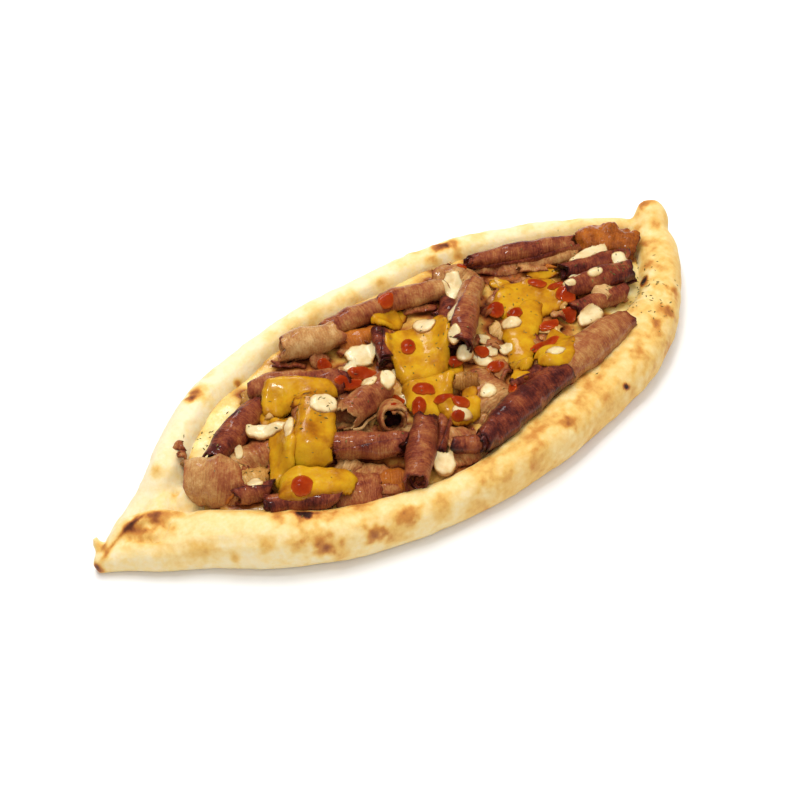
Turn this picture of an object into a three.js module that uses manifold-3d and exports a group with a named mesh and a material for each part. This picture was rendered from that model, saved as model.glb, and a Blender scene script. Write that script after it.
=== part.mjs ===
// A kebab and cheese pide: a boat of baked flatbread, its rim rolled up and pinched at both ends,
// filled with a bed of melted cheese, curled shavings of doner meat, slices of yellow cheese melted
// over them, white cheese and drops of red sauce.
// Millimetres, +Z up. X runs from the folded end to the pinched end, and the bread rests on Z = 0.
import * as THREE from "three";
import { mergeVertices } from "three/addons/utils/BufferGeometryUtils.js";
import Module from "manifold-3d";

const wasm = await Module();
wasm.setup();

// Driving dimensions, in millimetres. The bread is about 340 long, from tip to tip.
const BREAD_FLOOR = 9; // thickness of the bread under the filling
const RIM_HEIGHT = 20; // height of the rolled rim
const CHEESE_BED = 4.5; // melted cheese on the floor of the bread, at its edge
const BED_CROWN = 3; // how much higher it is in the middle
const GAP = 0.3; // between solids that touch
const MEAT_SHEET = 2; // thickness of one shaving of meat
const SLICE = 2.4; // thickness of a melted slice of yellow cheese
const FALL = 20; // how far above the rim a piece starts before it settles

// Cross-sections along each rim and along the cheese.
const FAR_STATIONS = 36;
const NEAR_STATIONS = 42;
const BED_STATIONS = 20;
const DEG = Math.PI / 180;

const mix = (a, b, t) => a + (b - a) * t;

// A repeatable random number from a seed.
function seeded(seed) {
  let state = seed * 7919 + 17;
  return () => {
    state = (state * 16807) % 2147483647;
    return state / 2147483647;
  };
}

// A smooth curve through rows of numbers, as evenly many steps between one row and the next.
function smoothRows(rows, count) {
  const row = (i) => rows[Math.min(Math.max(i, 0), rows.length - 1)];
  return Array.from({ length: count }, (_, k) => {
    const at = (k * (rows.length - 1)) / (count - 1);
    const i = Math.min(Math.floor(at), rows.length - 2);
    const t = at - i;
    const [p, q, r, s] = [row(i - 1), row(i), row(i + 1), row(i + 2)];
    return q.map(
      (v, n) =>
        v +
        0.5 * t * (r[n] - p[n] + t * (2 * p[n] - 5 * v + 4 * r[n] - s[n] + t * (3 * (v - r[n]) + s[n] - p[n]))),
    );
  });
}

// The middle line of each rolled rim from the folded end to the pinched end, as rows of
// X, Y, half of its width, height of its crown and height of its underside.
const FAR_RIM = [
  [-165, 22, 4, 6.5, 0], [-158, 24, 5.5, 8, 0], [-149, 27, 6.8, 9, 0], [-140, 31, 7.3, 10, 0],
  [-132, 34, 8.3, 13, 0], [-122.5, 37, 9, 19, 0], [-112, 45.5, 9.3, 20, 0], [-99, 54.5, 9.2, 20.3, 0],
  [-81, 64, 8.8, 20, 0], [-60, 69.5, 8.7, 20, 0], [-38, 73, 8.3, 20.6, 0], [-14, 75, 7.9, 20.4, 0],
  [10, 74.5, 8, 20, 0], [35, 73, 8.3, 20, 0], [54, 71.5, 8.6, 20.6, 0], [71, 67, 8.6, 20.4, 0],
  [88, 61, 8, 20, 0], [104, 54, 8, 20, 0], [120, 47, 7.5, 19.7, 0], [134, 39.5, 7, 19.3, 0],
  [146, 32, 6.5, 19, 0], [156, 24, 6, 18, 0], [162, 17, 4, 15, 1],
];
const NEAR_RIM = [
  [-168.5, 21.5, 3.4, 8, 0], [-160, 18.5, 6.4, 11.5, 0], [-152, 15, 9.2, 13.5, 0], [-142, 9.5, 11.8, 15.3, 0],
  [-130, 1.5, 13, 18.2, 0], [-118, -9.5, 13, 20.6, 0], [-104.5, -22, 12.2, 21.2, 0], [-89, -33, 11, 21, 0],
  [-71, -41.8, 10.2, 20.2, 0], [-50, -49, 9.8, 19.8, 0], [-25, -54.5, 9.4, 20, 0], [0, -56.3, 9.5, 20.4, 0],
  [25, -55.5, 9.8, 20, 0], [50, -53, 10.3, 19.8, 0], [75, -48.5, 10.6, 20, 0], [97, -41.5, 11, 20.4, 0],
  [115, -32.5, 11.2, 20.2, 0], [131, -21, 11.6, 20.4, 0], [144, -8, 12.2, 20.8, 0], [153.5, 3, 12, 20.8, 0],
  [160, 11, 11, 21.5, 1], [165, 16.5, 9.6, 23.4, 4], [168.5, 21, 8.6, 24.8, 8], [171, 24, 6.4, 24.6, 12],
];
// The lip of the fold at the low end, where the near rim laps over the far one.
const FOLD_LIP = [
  [-167, 19, 2, 8.5, 3], [-160, 22, 3, 12, 5], [-152.5, 23.5, 3.6, 15, 6], [-144, 22, 4, 16, 7],
  [-136, 17, 4, 16.4, 8], [-129, 10, 3, 15.5, 9],
];
// The loose corner of dough beside the tip.
const TIP_FLAP = [
  [-163, 22, 3, 7, 2], [-163.5, 26, 2.6, 9, 4], [-163, 29.5, 1.6, 11, 8],
];

// Outline of a rolled rim across its middle line: share of its half width, share of its height.
const ROLL_OUTLINE = [
  [0.55, 0], [0.9, 0.13], [1, 0.42], [0.87, 0.76], [0.5, 0.95], [0.03, 1],
  [-0.46, 0.96], [-0.84, 0.78], [-1, 0.5], [-0.94, 0.18], [-0.6, 0],
];

// Joins closed rings of points into one closed surface, each end closed on a middle point.
function skin(rings, capStart, capEnd) {
  const n = rings[0].length;
  const positions = [...rings.flat(), capStart, capEnd];
  const index = [];
  const last = (rings.length - 1) * n;
  const cap = rings.length * n;
  for (let i = 0; i < n; i++) {
    const j = (i + 1) % n;
    for (let r = 0; r < last; r += n) index.push(r + i, r + j, r + n + i, r + j, r + n + j, r + n + i);
    index.push(cap, j, i, cap + 1, last + i, last + j);
  }
  return { positions, index };
}

// A rolled edge of dough along its middle line, side 1 when its outer face looks to the near side.
function rolledEdge(rows, stations, side, seed) {
  const path = smoothRows(rows, stations);
  const random = seeded(seed);
  const phase = [random() * 6, random() * 6, random() * 6];
  const rings = path.map(([x, y, half, height, raised], i) => {
    const lift = Math.max(raised, 0);
    const [before, after] = [path[Math.max(i - 1, 0)], path[Math.min(i + 1, stations - 1)]];
    const along = new THREE.Vector2(after[0] - before[0], after[1] - before[1]).normalize();
    const swell = 1 + 0.035 * Math.sin(x / 13 + phase[0]) + 0.02 * Math.sin(x / 5.2 + phase[1]);
    const rise = 0.5 * Math.sin(x / 17 + phase[2]);
    const crown = Math.max(height + rise * Math.min(1, height / 18), lift + 2);
    return ROLL_OUTLINE.map(([across, up]) => {
      const w = across * half * swell * side;
      return [x + along.y * w, y - along.x * w, mix(lift, crown, up)];
    });
  });
  const middle = (k, at) => {
    const [x, y, , height, lift] = path[k];
    return [mix(x, path[at][0], -0.35), mix(y, path[at][1], -0.35), mix(lift, height, 0.5)];
  };
  return skin(rings, middle(0, 1), middle(stations - 1, stations - 2));
}

// A manifold solid from points and triangles, turned the right way out.
function solidFrom({ positions, index }) {
  const geometry = new THREE.BufferGeometry();
  geometry.setAttribute("position", new THREE.Float32BufferAttribute(positions.flat(), 3));
  geometry.setIndex(index);
  const merged = mergeVertices(geometry, 1e-4);
  const triVerts = new Uint32Array(merged.index.array);
  const vertProperties = merged.attributes.position.array;
  const make = () => new wasm.Manifold(new wasm.Mesh({ numProp: 3, vertProperties, triVerts }));
  const solid = make();
  if (solid.volume() > 0) return solid;
  for (let i = 0; i < triVerts.length; i += 3)
    [triVerts[i + 1], triVerts[i + 2]] = [triVerts[i + 2], triVerts[i + 1]];
  return make();
}

// The same surface moved outwards along its normals.
function grown({ positions, index }, by = GAP) {
  const normals = positions.map(() => new THREE.Vector3());
  let volume = 0;
  for (let i = 0; i < index.length; i += 3) {
    const [a, b, c] = [0, 1, 2].map((k) => new THREE.Vector3(...positions[index[i + k]]));
    volume += a.dot(b.clone().cross(c));
    const normal = b.clone().sub(a).cross(c.clone().sub(a));
    for (let k = 0; k < 3; k++) normals[index[i + k]].add(normal);
  }
  const sign = volume > 0 ? by : -by;
  const moved = (p, n) => [p[0] + n.x * sign, p[1] + n.y * sign, p[2] + n.z * sign];
  return { index, positions: positions.map((p, i) => moved(p, normals[i].normalize())) };
}

// A flat plate of an outline in the plan, from one height to another.
function plate(outline, low, high) {
  const shape = new THREE.Shape(outline.map(([x, y]) => new THREE.Vector2(x, y)));
  const geometry = new THREE.ExtrudeGeometry(shape, { depth: high - low, bevelEnabled: false });
  geometry.deleteAttribute("normal");
  geometry.deleteAttribute("uv");
  geometry.translate(0, 0, low);
  const p = geometry.attributes.position;
  const positions = Array.from({ length: p.count }, (_, i) => [p.getX(i), p.getY(i), p.getZ(i)]);
  return { positions, index: positions.map((_, i) => i) };
}

// The triangles of a manifold solid, each as its three corners.
function facesOf(solid) {
  const { vertProperties, triVerts, numProp } = solid.getMesh();
  const corner = (i) => [0, 1, 2].map((k) => vertProperties[triVerts[i] * numProp + k]);
  const faces = [];
  for (let i = 0; i < triVerts.length; i += 3) faces.push([corner(i), corner(i + 1), corner(i + 2)]);
  return faces;
}

// Whether two solids' boxes meet.
function boxesMeet(one, two) {
  const [p, q] = [one.boundingBox(), two.boundingBox()];
  return [0, 1, 2].every((k) => p.min[k] < q.max[k] && q.min[k] < p.max[k]);
}

// Heights over the plan in cells of one millimetre, the highest or the lowest surface in each.
class HeightMap {
  constructor(keep) {
    this.keep = keep;
    this.cells = new Map();
    this.owners = new Map();
  }
  static key(x, y) {
    return Math.round(x) * 4096 + Math.round(y);
  }
  add(faces, name) {
    for (const [a, b, c] of faces) {
      const area = (b[0] - a[0]) * (c[1] - a[1]) - (c[0] - a[0]) * (b[1] - a[1]);
      if (Math.abs(area) < 1e-6) continue;
      const [lowX, highX] = [Math.ceil(Math.min(a[0], b[0], c[0])), Math.max(a[0], b[0], c[0])];
      const [lowY, highY] = [Math.ceil(Math.min(a[1], b[1], c[1])), Math.max(a[1], b[1], c[1])];
      for (let x = lowX; x <= highX; x++)
        for (let y = lowY; y <= highY; y++) {
          const u = ((b[0] - x) * (c[1] - y) - (c[0] - x) * (b[1] - y)) / area;
          const v = ((c[0] - x) * (a[1] - y) - (a[0] - x) * (c[1] - y)) / area;
          if (u < 0 || v < 0 || u + v > 1) continue;
          const z = u * a[2] + v * b[2] + (1 - u - v) * c[2];
          const key = HeightMap.key(x, y);
          const old = this.cells.get(key);
          if (old !== undefined && this.keep(old, z) === old) continue;
          this.cells.set(key, z);
          this.owners.set(key, name);
        }
    }
  }
  at(x, y) {
    return this.cells.get(HeightMap.key(x, y)) ?? 0;
  }
  ownerAt(x, y) {
    return this.owners.get(HeightMap.key(x, y));
  }
  // The cells within a reach of a point, folded into one number.
  around(x, y, reach, fold, start) {
    let result = start;
    const steps = Math.ceil(reach);
    for (let i = -steps; i <= steps; i++)
      for (let j = -steps; j <= steps; j++)
        if (i * i + j * j <= reach * reach) result = fold(result, this.at(x + i, y + j));
    return result;
  }
  // The heights as a soft sheet lies on them: narrow gaps are bridged, then all is smoothed.
  softened(at, size, bridge, smooth) {
    const fill = (source, span, reach, fold, start) => {
      const map = new HeightMap(Math.max);
      for (let x = at[0] - span; x <= at[0] + span; x++)
        for (let y = at[1] - span; y <= at[1] + span; y++)
          map.cells.set(HeightMap.key(x, y), source.around(x, y, reach, fold, start));
      return map;
    };
    const raised = fill(this, size + bridge + smooth, bridge, Math.max, 0);
    const bridged = fill(raised, size + smooth, bridge, Math.min, 99);
    let count = 0;
    bridged.around(0, 0, smooth, () => count++, 0);
    const summed = fill(bridged, size, smooth, (a, b) => a + b, 0);
    return (x, y) => summed.at(x, y) / count;
  }
}

const pile = new HeightMap(Math.max);
const placed = new Map(); // name to its solid, the same grown by the gap, and its colour

// Cuts a solid clear of everything that is placed, but for one piece, and keeps its largest part.
function clearOf(solid, exceptName) {
  let rest = solid;
  for (const [name, other] of placed)
    if (name !== exceptName && boxesMeet(rest, other.grownSolid)) rest = rest.subtract(other.grownSolid);
  return rest.decompose().sort((p, q) => q.volume() - p.volume())[0];
}

function place(name, solid, grownSolid, colour) {
  placed.set(name, { solid, grownSolid, colour });
  pile.add(facesOf(solid), name);
}

function placeClear(name, shape, colour) {
  place(name, clearOf(solidFrom(shape)), solidFrom(grown(shape)).add(solidFrom(shape)), colour);
}

// Lets a shape down until it rests on the pile. A share of its underside may press into what lies
// below, because meat and cheese are soft.
function settled(shape, share) {
  const underside = new HeightMap(Math.min);
  const faces = [];
  for (let i = 0; i < shape.index.length; i += 3)
    faces.push([0, 1, 2].map((k) => shape.positions[shape.index[i + k]]));
  underside.add(faces);
  const room = [...underside.cells].map(([key, z]) => z - (pile.cells.get(key) ?? 0));
  room.sort((a, b) => a - b);
  const drop = room[Math.floor(room.length * share)] - GAP;
  return { ...shape, positions: shape.positions.map(([x, y, z]) => [x, y, z - drop]) };
}

// Sets a shape that is modelled along its own X over a point of the plan. Roll turns it about its
// own length, pitch lifts its +X end, yaw turns it in the plan.
function set(shape, { at, yaw = 0, pitch = 0, roll = 0 }) {
  const matrix = new THREE.Matrix4()
    .makeTranslation(at[0], at[1], RIM_HEIGHT + FALL)
    .multiply(new THREE.Matrix4().makeRotationZ(yaw * DEG))
    .multiply(new THREE.Matrix4().makeRotationY(-pitch * DEG))
    .multiply(new THREE.Matrix4().makeRotationX(roll * DEG));
  const p = new THREE.Vector3();
  return { ...shape, positions: shape.positions.map((q) => p.set(...q).applyMatrix4(matrix).toArray()) };
}

// A shaving rolled up tight: a rod whose outline is a snail's, with the sheet's free edge as a step
// along it, and both ends hollow.
function tightRoll({ length, radius, seed, bend = 1, flat = 0.92, sides = 8, taper = 0 }) {
  const phase = seeded(seed)() * 6;
  const stations = Math.max(4, Math.round(length / 10));
  const step = (0.8 * MEAT_SHEET) / radius;
  const half = length / 2;
  const ring = (x, scale) => {
    const t = x / half;
    const swell = 1 + 0.06 * Math.sin(phase + t * 4) + 0.035 * Math.sin(phase * 2 + t * 11) + taper * t;
    return Array.from({ length: sides }, (_, k) => {
      const angle = (k / sides) * 2 * Math.PI;
      const r = radius * (1 - (step * k) / sides) * swell * scale;
      return [x, r * Math.cos(angle) + bend * (1 - t * t), r * Math.sin(angle) * flat];
    });
  };
  const rings = [ring(-half, 0.68)];
  for (let i = 0; i < stations; i++) rings.push(ring(mix(-half + 0.8, half - 0.8, i / (stations - 1)), 1));
  rings.push(ring(half, 0.68));
  return skin(rings, [-half + radius * 0.7, 0, 0], [half - radius * 0.7, 0, 0]);
}

// A shaving that is only partly rolled: a sheet wound into a spiral, open at its ends.
function openCurl({ length, radius, turns, seed, bend = 0, flat = 1, thick = MEAT_SHEET, spread = 0 }) {
  const phase = seeded(seed)() * 6;
  const segments = Math.max(5, Math.round(turns * 10));
  const stations = Math.max(3, Math.round(length / 9));
  const pitch = thick + 0.8;
  const strip = (t) => {
    const line = (offset) =>
      Array.from({ length: segments + 1 }, (_, k) => {
        const share = k / segments;
        const angle = share * turns * 2 * Math.PI;
        const swell = (1 + spread * t) * (1 + 0.05 * Math.sin(phase + 7 * t));
        const r = (radius - pitch * share * turns) * swell - offset;
        const frill = Math.abs(t) > 0.99 ? 1.4 * Math.sin(phase + share * 9) * t : 0;
        const x = (t * length) / 2 + frill;
        return [x, r * Math.cos(angle) + bend * (1 - t * t), r * Math.sin(angle) * flat];
      });
    return [...line(0), ...line(thick).reverse()];
  };
  const rings = Array.from({ length: stations }, (_, i) => strip(-1 + (2 * i) / (stations - 1)));
  const n = rings[0].length;
  const last = (stations - 1) * n;
  const index = [];
  for (let i = 0; i < n; i++) {
    const j = (i + 1) % n;
    for (let r = 0; r < last; r += n) index.push(r + i, r + j, r + n + i, r + j, r + n + j, r + n + i);
  }
  for (let i = 0; i < segments; i++) {
    const [a, b, c, d] = [i, i + 1, n - 2 - i, n - 1 - i];
    index.push(a, c, b, a, d, c, last + a, last + b, last + c, last + a, last + c, last + d);
  }
  return { positions: rings.flat(), index };
}

// A soft piece laid over the pile between four corners in the plan. Its underside keeps clear of
// what lies below, and its top sags over it as melted cheese does, by no more than its sag and no
// lower than its level.
function draped({ corners, thick, sag, level = 0, dome = 0, round = 0.4, bridge = 7, smooth = 3, cell = 6, seed }) {
  const phase = seeded(seed)() * 6;
  const edge = (i, j) => Math.hypot(corners[j][0] - corners[i][0], corners[j][1] - corners[i][1]);
  const columns = Math.max(3, Math.round((edge(0, 1) + edge(3, 2)) / 2 / cell));
  const rows = Math.max(3, Math.round((edge(1, 2) + edge(0, 3)) / 2 / cell));
  const middle = [0, 1].map((k) => Math.round(corners.reduce((sum, c) => sum + c[k], 0) / 4));
  const span = Math.ceil(Math.max(...corners.map((c) => Math.hypot(c[0] - middle[0], c[1] - middle[1])))) + 2;
  const support = pile.softened(middle, span, bridge, smooth);
  const lowest = Math.max(level, support(...middle) - sag);
  const bottom = [];
  const top = [];
  for (let j = 0; j <= rows; j++)
    for (let i = 0; i <= columns; i++) {
      const u = (2 * i) / columns - 1;
      const v = (2 * j) / rows - 1;
      // The square of the patch, turned part of the way into a disc.
      const waver = 1 + 0.05 * Math.sin(phase + Math.atan2(v, u) * 3);
      const s = (mix(u, u * Math.sqrt(1 - (v * v) / 2), round) * waver + 1) / 2;
      const t = (mix(v, v * Math.sqrt(1 - (u * u) / 2), round) * waver + 1) / 2;
      const [x, y] = [0, 1].map((k) =>
        mix(mix(corners[0][k], corners[1][k], s), mix(corners[3][k], corners[2][k], s), t),
      );
      const rim = Math.max(Math.abs(u), Math.abs(v));
      const clear = pile.around(x, y, cell * 0.6, Math.max, 0) + GAP;
      const lift = rim > 0.99 ? thick * 0.5 : thick + dome * Math.sqrt(1 - rim * rim);
      const over = Math.max(support(x, y), lowest) + lift;
      top.push([x, y, Math.max(over, clear + Math.min(lift, 1.1))]);
      bottom.push([x, y, Math.max(clear, over - thick)]);
    }
  const n = (columns + 1) * (rows + 1);
  const index = [];
  for (let j = 0; j < rows; j++)
    for (let i = 0; i < columns; i++) {
      const a = j * (columns + 1) + i;
      const [b, c, d] = [a + 1, a + columns + 2, a + columns + 1];
      index.push(a, c, b, a, d, c, n + a, n + b, n + c, n + a, n + c, n + d);
    }
  const border = [];
  for (let i = 0; i < columns; i++) border.push(i);
  for (let j = 0; j < rows; j++) border.push(j * (columns + 1) + columns);
  for (let i = columns; i > 0; i--) border.push(rows * (columns + 1) + i);
  for (let j = rows; j > 0; j--) border.push(j * (columns + 1));
  border.forEach((a, k) => {
    const b = border[(k + 1) % border.length];
    index.push(a, b, n + b, a, n + b, n + a);
  });
  return { positions: [...bottom, ...top], index };
}

// The four corners of an oblong in the plan.
function oblong({ at, length, width, yaw = 0 }) {
  const [cos, sin] = [Math.cos(yaw * DEG), Math.sin(yaw * DEG)];
  return [[-1, 1], [1, 1], [1, -1], [-1, -1]].map(([u, v]) => {
    const [x, y] = [(u * length) / 2, (v * width) / 2];
    return [at[0] + x * cos - y * sin, at[1] + x * sin + y * cos];
  });
}

// A small soft drop that sits on the piece under it and is one solid with it.
function dollop({ at, length, width, yaw = 0, height = 1.8 }) {
  const host = pile.ownerAt(at[0], at[1]);
  const level = pile.at(at[0], at[1]);
  const [cos, sin] = [Math.cos(yaw * DEG), Math.sin(yaw * DEG)];
  const sides = 6;
  const ring = (scale, up) =>
    Array.from({ length: sides }, (_, k) => {
      const angle = (k / sides) * 2 * Math.PI;
      const [x, y] = [(Math.cos(angle) * length * scale) / 2, (Math.sin(angle) * width * scale) / 2];
      const [px, py] = [at[0] + x * cos - y * sin, at[1] + x * sin + y * cos];
      const ground = Math.min(Math.max(pile.around(px, py, 1, Math.max, 0), level - 2.5), level + 1);
      return [px, py, ground + up];
    });
  const rings = [ring(0.9, -1.4), ring(1, 0.4), ring(0.62, height * 0.85)];
  const shape = skin(rings, [...at, level - 1.8], [...at, level + height]);
  const drop = clearOf(solidFrom(shape), host);
  const under = placed.get(host);
  under.solid = under.solid.add(drop).decompose().sort((p, q) => q.volume() - p.volume())[0];
  under.grownSolid = under.grownSolid.add(solidFrom(grown(shape)));
}

// Colours, as the photograph shows them.
const CRUST = 0xf0d9a0;
const BED = 0xf2e2a6;
const TAN_MEAT = 0xa8693f;
const RED_MEAT = 0x6e2f22;
const CRISP_MEAT = 0xb0602c;
const ONION = 0xa98f4c;
const YELLOW = 0xe0a21f;
const WHITE = 0xefe6c8;

// The bread: a floor, the two rolled rims, the fold's lip and the loose corner at the tip, in one.
const farRim = rolledEdge(FAR_RIM, FAR_STATIONS, -1, 1);
const nearRim = rolledEdge(NEAR_RIM, NEAR_STATIONS, 1, 2);
const foldLip = rolledEdge(FOLD_LIP, 12, 1, 3);
const tipFlap = rolledEdge(TIP_FLAP, 5, 1, 4);
const floorLine = [...smoothRows(NEAR_RIM, 34).slice(1, -3), ...smoothRows(FAR_RIM, 34).slice(2, -1).reverse()];
const breadParts = [plate(floorLine, 0, BREAD_FLOOR), farRim, nearRim, foldLip, tipFlap];
const bread = breadParts.map(solidFrom).reduce((sum, solid) => sum.add(solid));
const grownBread = [plate(floorLine, 0, BREAD_FLOOR + GAP), ...breadParts.slice(1).map((part) => grown(part))]
  .map(solidFrom)
  .reduce((sum, solid) => sum.add(solid), bread);
place("crust", bread, grownBread, CRUST);

// The bed of melted cheese fills the floor from rim to rim.
const bedFar = smoothRows(FAR_RIM, 90);
const bedNear = smoothRows(NEAR_RIM, 90);
const edgeAt = (rows, x) => rows.reduce((best, row) => (Math.abs(row[0] - x) < Math.abs(best[0] - x) ? row : best))[1];
const bedRings = Array.from({ length: BED_STATIONS }, (_, i) => {
  const t = i / (BED_STATIONS - 1);
  const x = mix(-122, 147, t);
  const [far, near] = [edgeAt(bedFar, x), edgeAt(bedNear, x)];
  const low = BREAD_FLOOR + GAP;
  const across = 6;
  const top = Array.from({ length: across + 1 }, (_, k) => {
    const lumps = 0.6 * Math.sin(x / 7 + k * 1.3) + 0.5 * Math.sin(x / 3.7 - k * 2.1);
    const crown = BED_CROWN * Math.sin(Math.PI * t) * Math.sin((Math.PI * k) / across);
    return [x, mix(far, near, k / across), low + CHEESE_BED + crown + lumps];
  });
  return [...top, [x, near, low], [x, far, low]];
});
const bedEnd = (ring) => [ring[0][0], (ring.at(-1)[1] + ring.at(-2)[1]) / 2, BREAD_FLOOR + GAP + 2];
placeClear("cheese_bed", skin(bedRings, bedEnd(bedRings[0]), bedEnd(bedRings.at(-1))), BED);

// The shavings of meat, in the order in which they were dropped. at is the middle in the plan and
// turns says how far an open curl is wound: a piece without it is rolled up tight.
const meats = [
  { name: "slab_near_left", at: [-66, -27], yaw: -27, length: 23, radius: 13, turns: 0.28, roll: 38, press: 0.25, colour: TAN_MEAT },
  { name: "slab_middle", at: [-13, -36], yaw: -18, length: 18, radius: 15, turns: 0.28, roll: 38, press: 0.25, colour: TAN_MEAT },
  { name: "slab_right", at: [16, -22], yaw: 86, length: 26, radius: 14, turns: 0.3, roll: 38, colour: TAN_MEAT },
  { name: "caramel_near", at: [-48, -34], yaw: -35, length: 14, radius: 8, turns: 0.36, roll: 25, press: 0.3, colour: CRISP_MEAT },
  { name: "roll_near_left", at: [-89, -18], yaw: -31, length: 29, radius: 5.5, colour: RED_MEAT },
  { name: "roll_small_left", at: [-102, -2], yaw: -20, length: 15, radius: 5, colour: RED_MEAT },
  { name: "amber_left", at: [-95, 7], yaw: -17, length: 13, radius: 9, turns: 0.3, roll: 35, colour: ONION },
  { name: "roll_far_left", at: [-86, 32], yaw: 23, length: 35, radius: 6.3, colour: RED_MEAT },
  { name: "onion_left", at: [-66, 47], yaw: -32, length: 10, radius: 6, turns: 0.5, roll: 0, colour: ONION },
  { name: "roll_under_slice", at: [-49, 36], yaw: -34, length: 38, radius: 8, colour: TAN_MEAT },
  { name: "roll_under_melt", at: [-62, 10], yaw: 52, length: 28, radius: 8.5, colour: TAN_MEAT },
  { name: "flap_left", at: [-87, 18], yaw: -11, length: 14, radius: 9, turns: 0.33, roll: 30, colour: TAN_MEAT },
  { name: "slab_left", at: [-111, 18], yaw: -45, length: 27, radius: 12.5, turns: 0.5, roll: 0, press: 0.03, colour: TAN_MEAT },
  { name: "roll_far_middle", at: [0, 54], yaw: -8, length: 33, radius: 6.5, colour: RED_MEAT },
  { name: "roll_far_tan", at: [-28, 54], yaw: -19, length: 27, radius: 8, colour: TAN_MEAT },
  { name: "roll_far_right", at: [30, 48], yaw: -20, length: 31, radius: 6.5, colour: TAN_MEAT },
  { name: "crisp_middle", at: [-5, 43], yaw: -20, length: 20, radius: 8, turns: 0.4, roll: 18, colour: CRISP_MEAT },
  { name: "stub_purple", at: [-4, 29], yaw: 58, length: 20, radius: 5, colour: RED_MEAT },
  { name: "roll_under_middle", at: [29, 20], yaw: 48, length: 34, radius: 6, colour: RED_MEAT },
  { name: "roll_rim_right", at: [94, 37], yaw: -25, length: 54, radius: 6.3, colour: RED_MEAT },
  { name: "curl_far_right", at: [58, 44], yaw: -68, length: 25, radius: 9, turns: 0.45, roll: 8, colour: TAN_MEAT },
  { name: "roll_long_middle", at: [38.3, 16.8], yaw: 41, length: 42, radius: 6.8, colour: RED_MEAT },
  { name: "lump_right", at: [133, 16], yaw: -53, length: 24, radius: 12, turns: 0.42, roll: 14, colour: CRISP_MEAT },
  { name: "roll_right_low", at: [98, -12], yaw: -13, length: 27, radius: 5.2, colour: TAN_MEAT },
  { name: "roll_right_far", at: [114, 8], yaw: -24, length: 34, radius: 6, colour: RED_MEAT },
  { name: "roll_right_near", at: [107, -4], yaw: -17, length: 37, radius: 6.5, colour: RED_MEAT },
  { name: "roll_tan_right", at: [72, -33], yaw: 6, length: 49, radius: 7.8, press: 0.18, colour: TAN_MEAT },
  { name: "roll_dark_right", at: [18, -41], yaw: 8, length: 56, radius: 7.5, sides: 10, colour: RED_MEAT },
  { name: "roll_dark_upper", at: [36, -29.5], yaw: -5, length: 26, radius: 4.2, colour: RED_MEAT },
  { name: "stub_near", at: [-17, -43], yaw: -35, length: 10, radius: 4.6, turns: 0.7, roll: 60, press: 0.35, colour: RED_MEAT },
  { name: "roll_dark_left", at: [-49, -13], yaw: -41, length: 32, radius: 7, sides: 10, colour: RED_MEAT },
  { name: "roll_thin_middle", at: [-18, -28], yaw: 42, length: 25, radius: 3.6, press: 0.3, colour: RED_MEAT },
  { name: "roll_ribbed", at: [-33, -31], yaw: 41, pitch: 5, length: 34, radius: 7, sides: 10, press: 0.22, colour: RED_MEAT },
  { name: "onion_middle", at: [10, -12], yaw: -41, length: 10, radius: 5, turns: 0.5, roll: 0, colour: ONION },
  { name: "curl_centre", at: [-37.5, 5], yaw: 9, length: 31, radius: 8.2, turns: 1.1, roll: 200, colour: TAN_MEAT },
  { name: "curl_round", at: [-30.4, -7.4], yaw: -115, pitch: 28, length: 10, radius: 7.5, turns: 1.15, roll: 30, press: 0.25, colour: TAN_MEAT },
];
meats.forEach((meat, i) => {
  const shape = meat.turns ? openCurl({ ...meat, seed: i + 1 }) : tightRoll({ ...meat, seed: i + 1 });
  placeClear(meat.name, settled(set(shape, meat), meat.press ?? 0.1), meat.colour);
});

// The slices of yellow cheese, melted over the meat, by their corners in the plan.
const slices = [
  { name: "slice_left_far", corners: [[-62, 46], [-36, 24], [-45, 15], [-73, 30]] },
  { name: "slice_left_melt", corners: [[-56, 24], [-46, 12], [-69, -14], [-83, -0]] },
  { name: "slice_left_strip", corners: [[-71, 30], [-65, 19], [-82, -6], [-94, -3]] },
  { name: "slice_near_left", corners: [[-86, -2], [-62, -18], [-68, -32], [-101, -13]], level: 23 },
  { name: "slice_tab", corners: [[2, 46], [16, 41], [12, 32], [-1, 38]] },
  { name: "slice_middle", corners: [[-0, 35], [33, 30], [11, -3], [-14, 7]], level: 22 },
  { name: "slice_middle_low", corners: [[-12, 7], [12, -3], [-5, -18], [-24, -16]], level: 21 },
  { name: "slice_sauced", corners: [[-6, -11], [9, -21], [3, -32], [-13, -24]], level: 21 },
  { name: "slice_right_far", corners: [[66, 31], [96, 17], [85, -5], [52, 7]], level: 19 },
  { name: "slice_right_strip", corners: [[57, 15], [78, 6], [33, -30], [28, -25]], level: 20 },
  { name: "slice_right_near", corners: [[69, -6], [68, -24], [50, -40], [34, -31]], level: 20 },
];
slices.forEach(({ name, corners, ...how }, i) => {
  placeClear(name, draped({ corners, thick: SLICE, sag: 6, seed: i + 3, ...how }), YELLOW);
});

// The white cheese, melted to blobs.
const blobs = [
  { at: [-53, 12], length: 13, width: 13, yaw: -67 },
  { at: [-75, 26], length: 18, width: 9, yaw: -34 },
  { at: [-11, 37], length: 15, width: 15, yaw: -27 },
  { at: [-21, 6], length: 8, width: 13, yaw: -41 },
  { at: [19, 27], length: 12, width: 11, yaw: -54 },
  { at: [51, 42], length: 11, width: 18, yaw: -41 },
  { at: [-28, -40], length: 11, width: 13, yaw: -41 },
  { at: [120, 18], length: 22, width: 9, yaw: -12 },
  { at: [89, -14], length: 17, width: 10, yaw: 3 },
];
blobs.forEach((blob, i) => {
  const how = { thick: 1.6, dome: 1.8, sag: 2.5, round: 1, bridge: 5, smooth: 3, cell: 5, seed: i + 21 };
  placeClear(`white_cheese_${i + 1}`, draped({ corners: oblong(blob), ...how }), WHITE);
});

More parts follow.
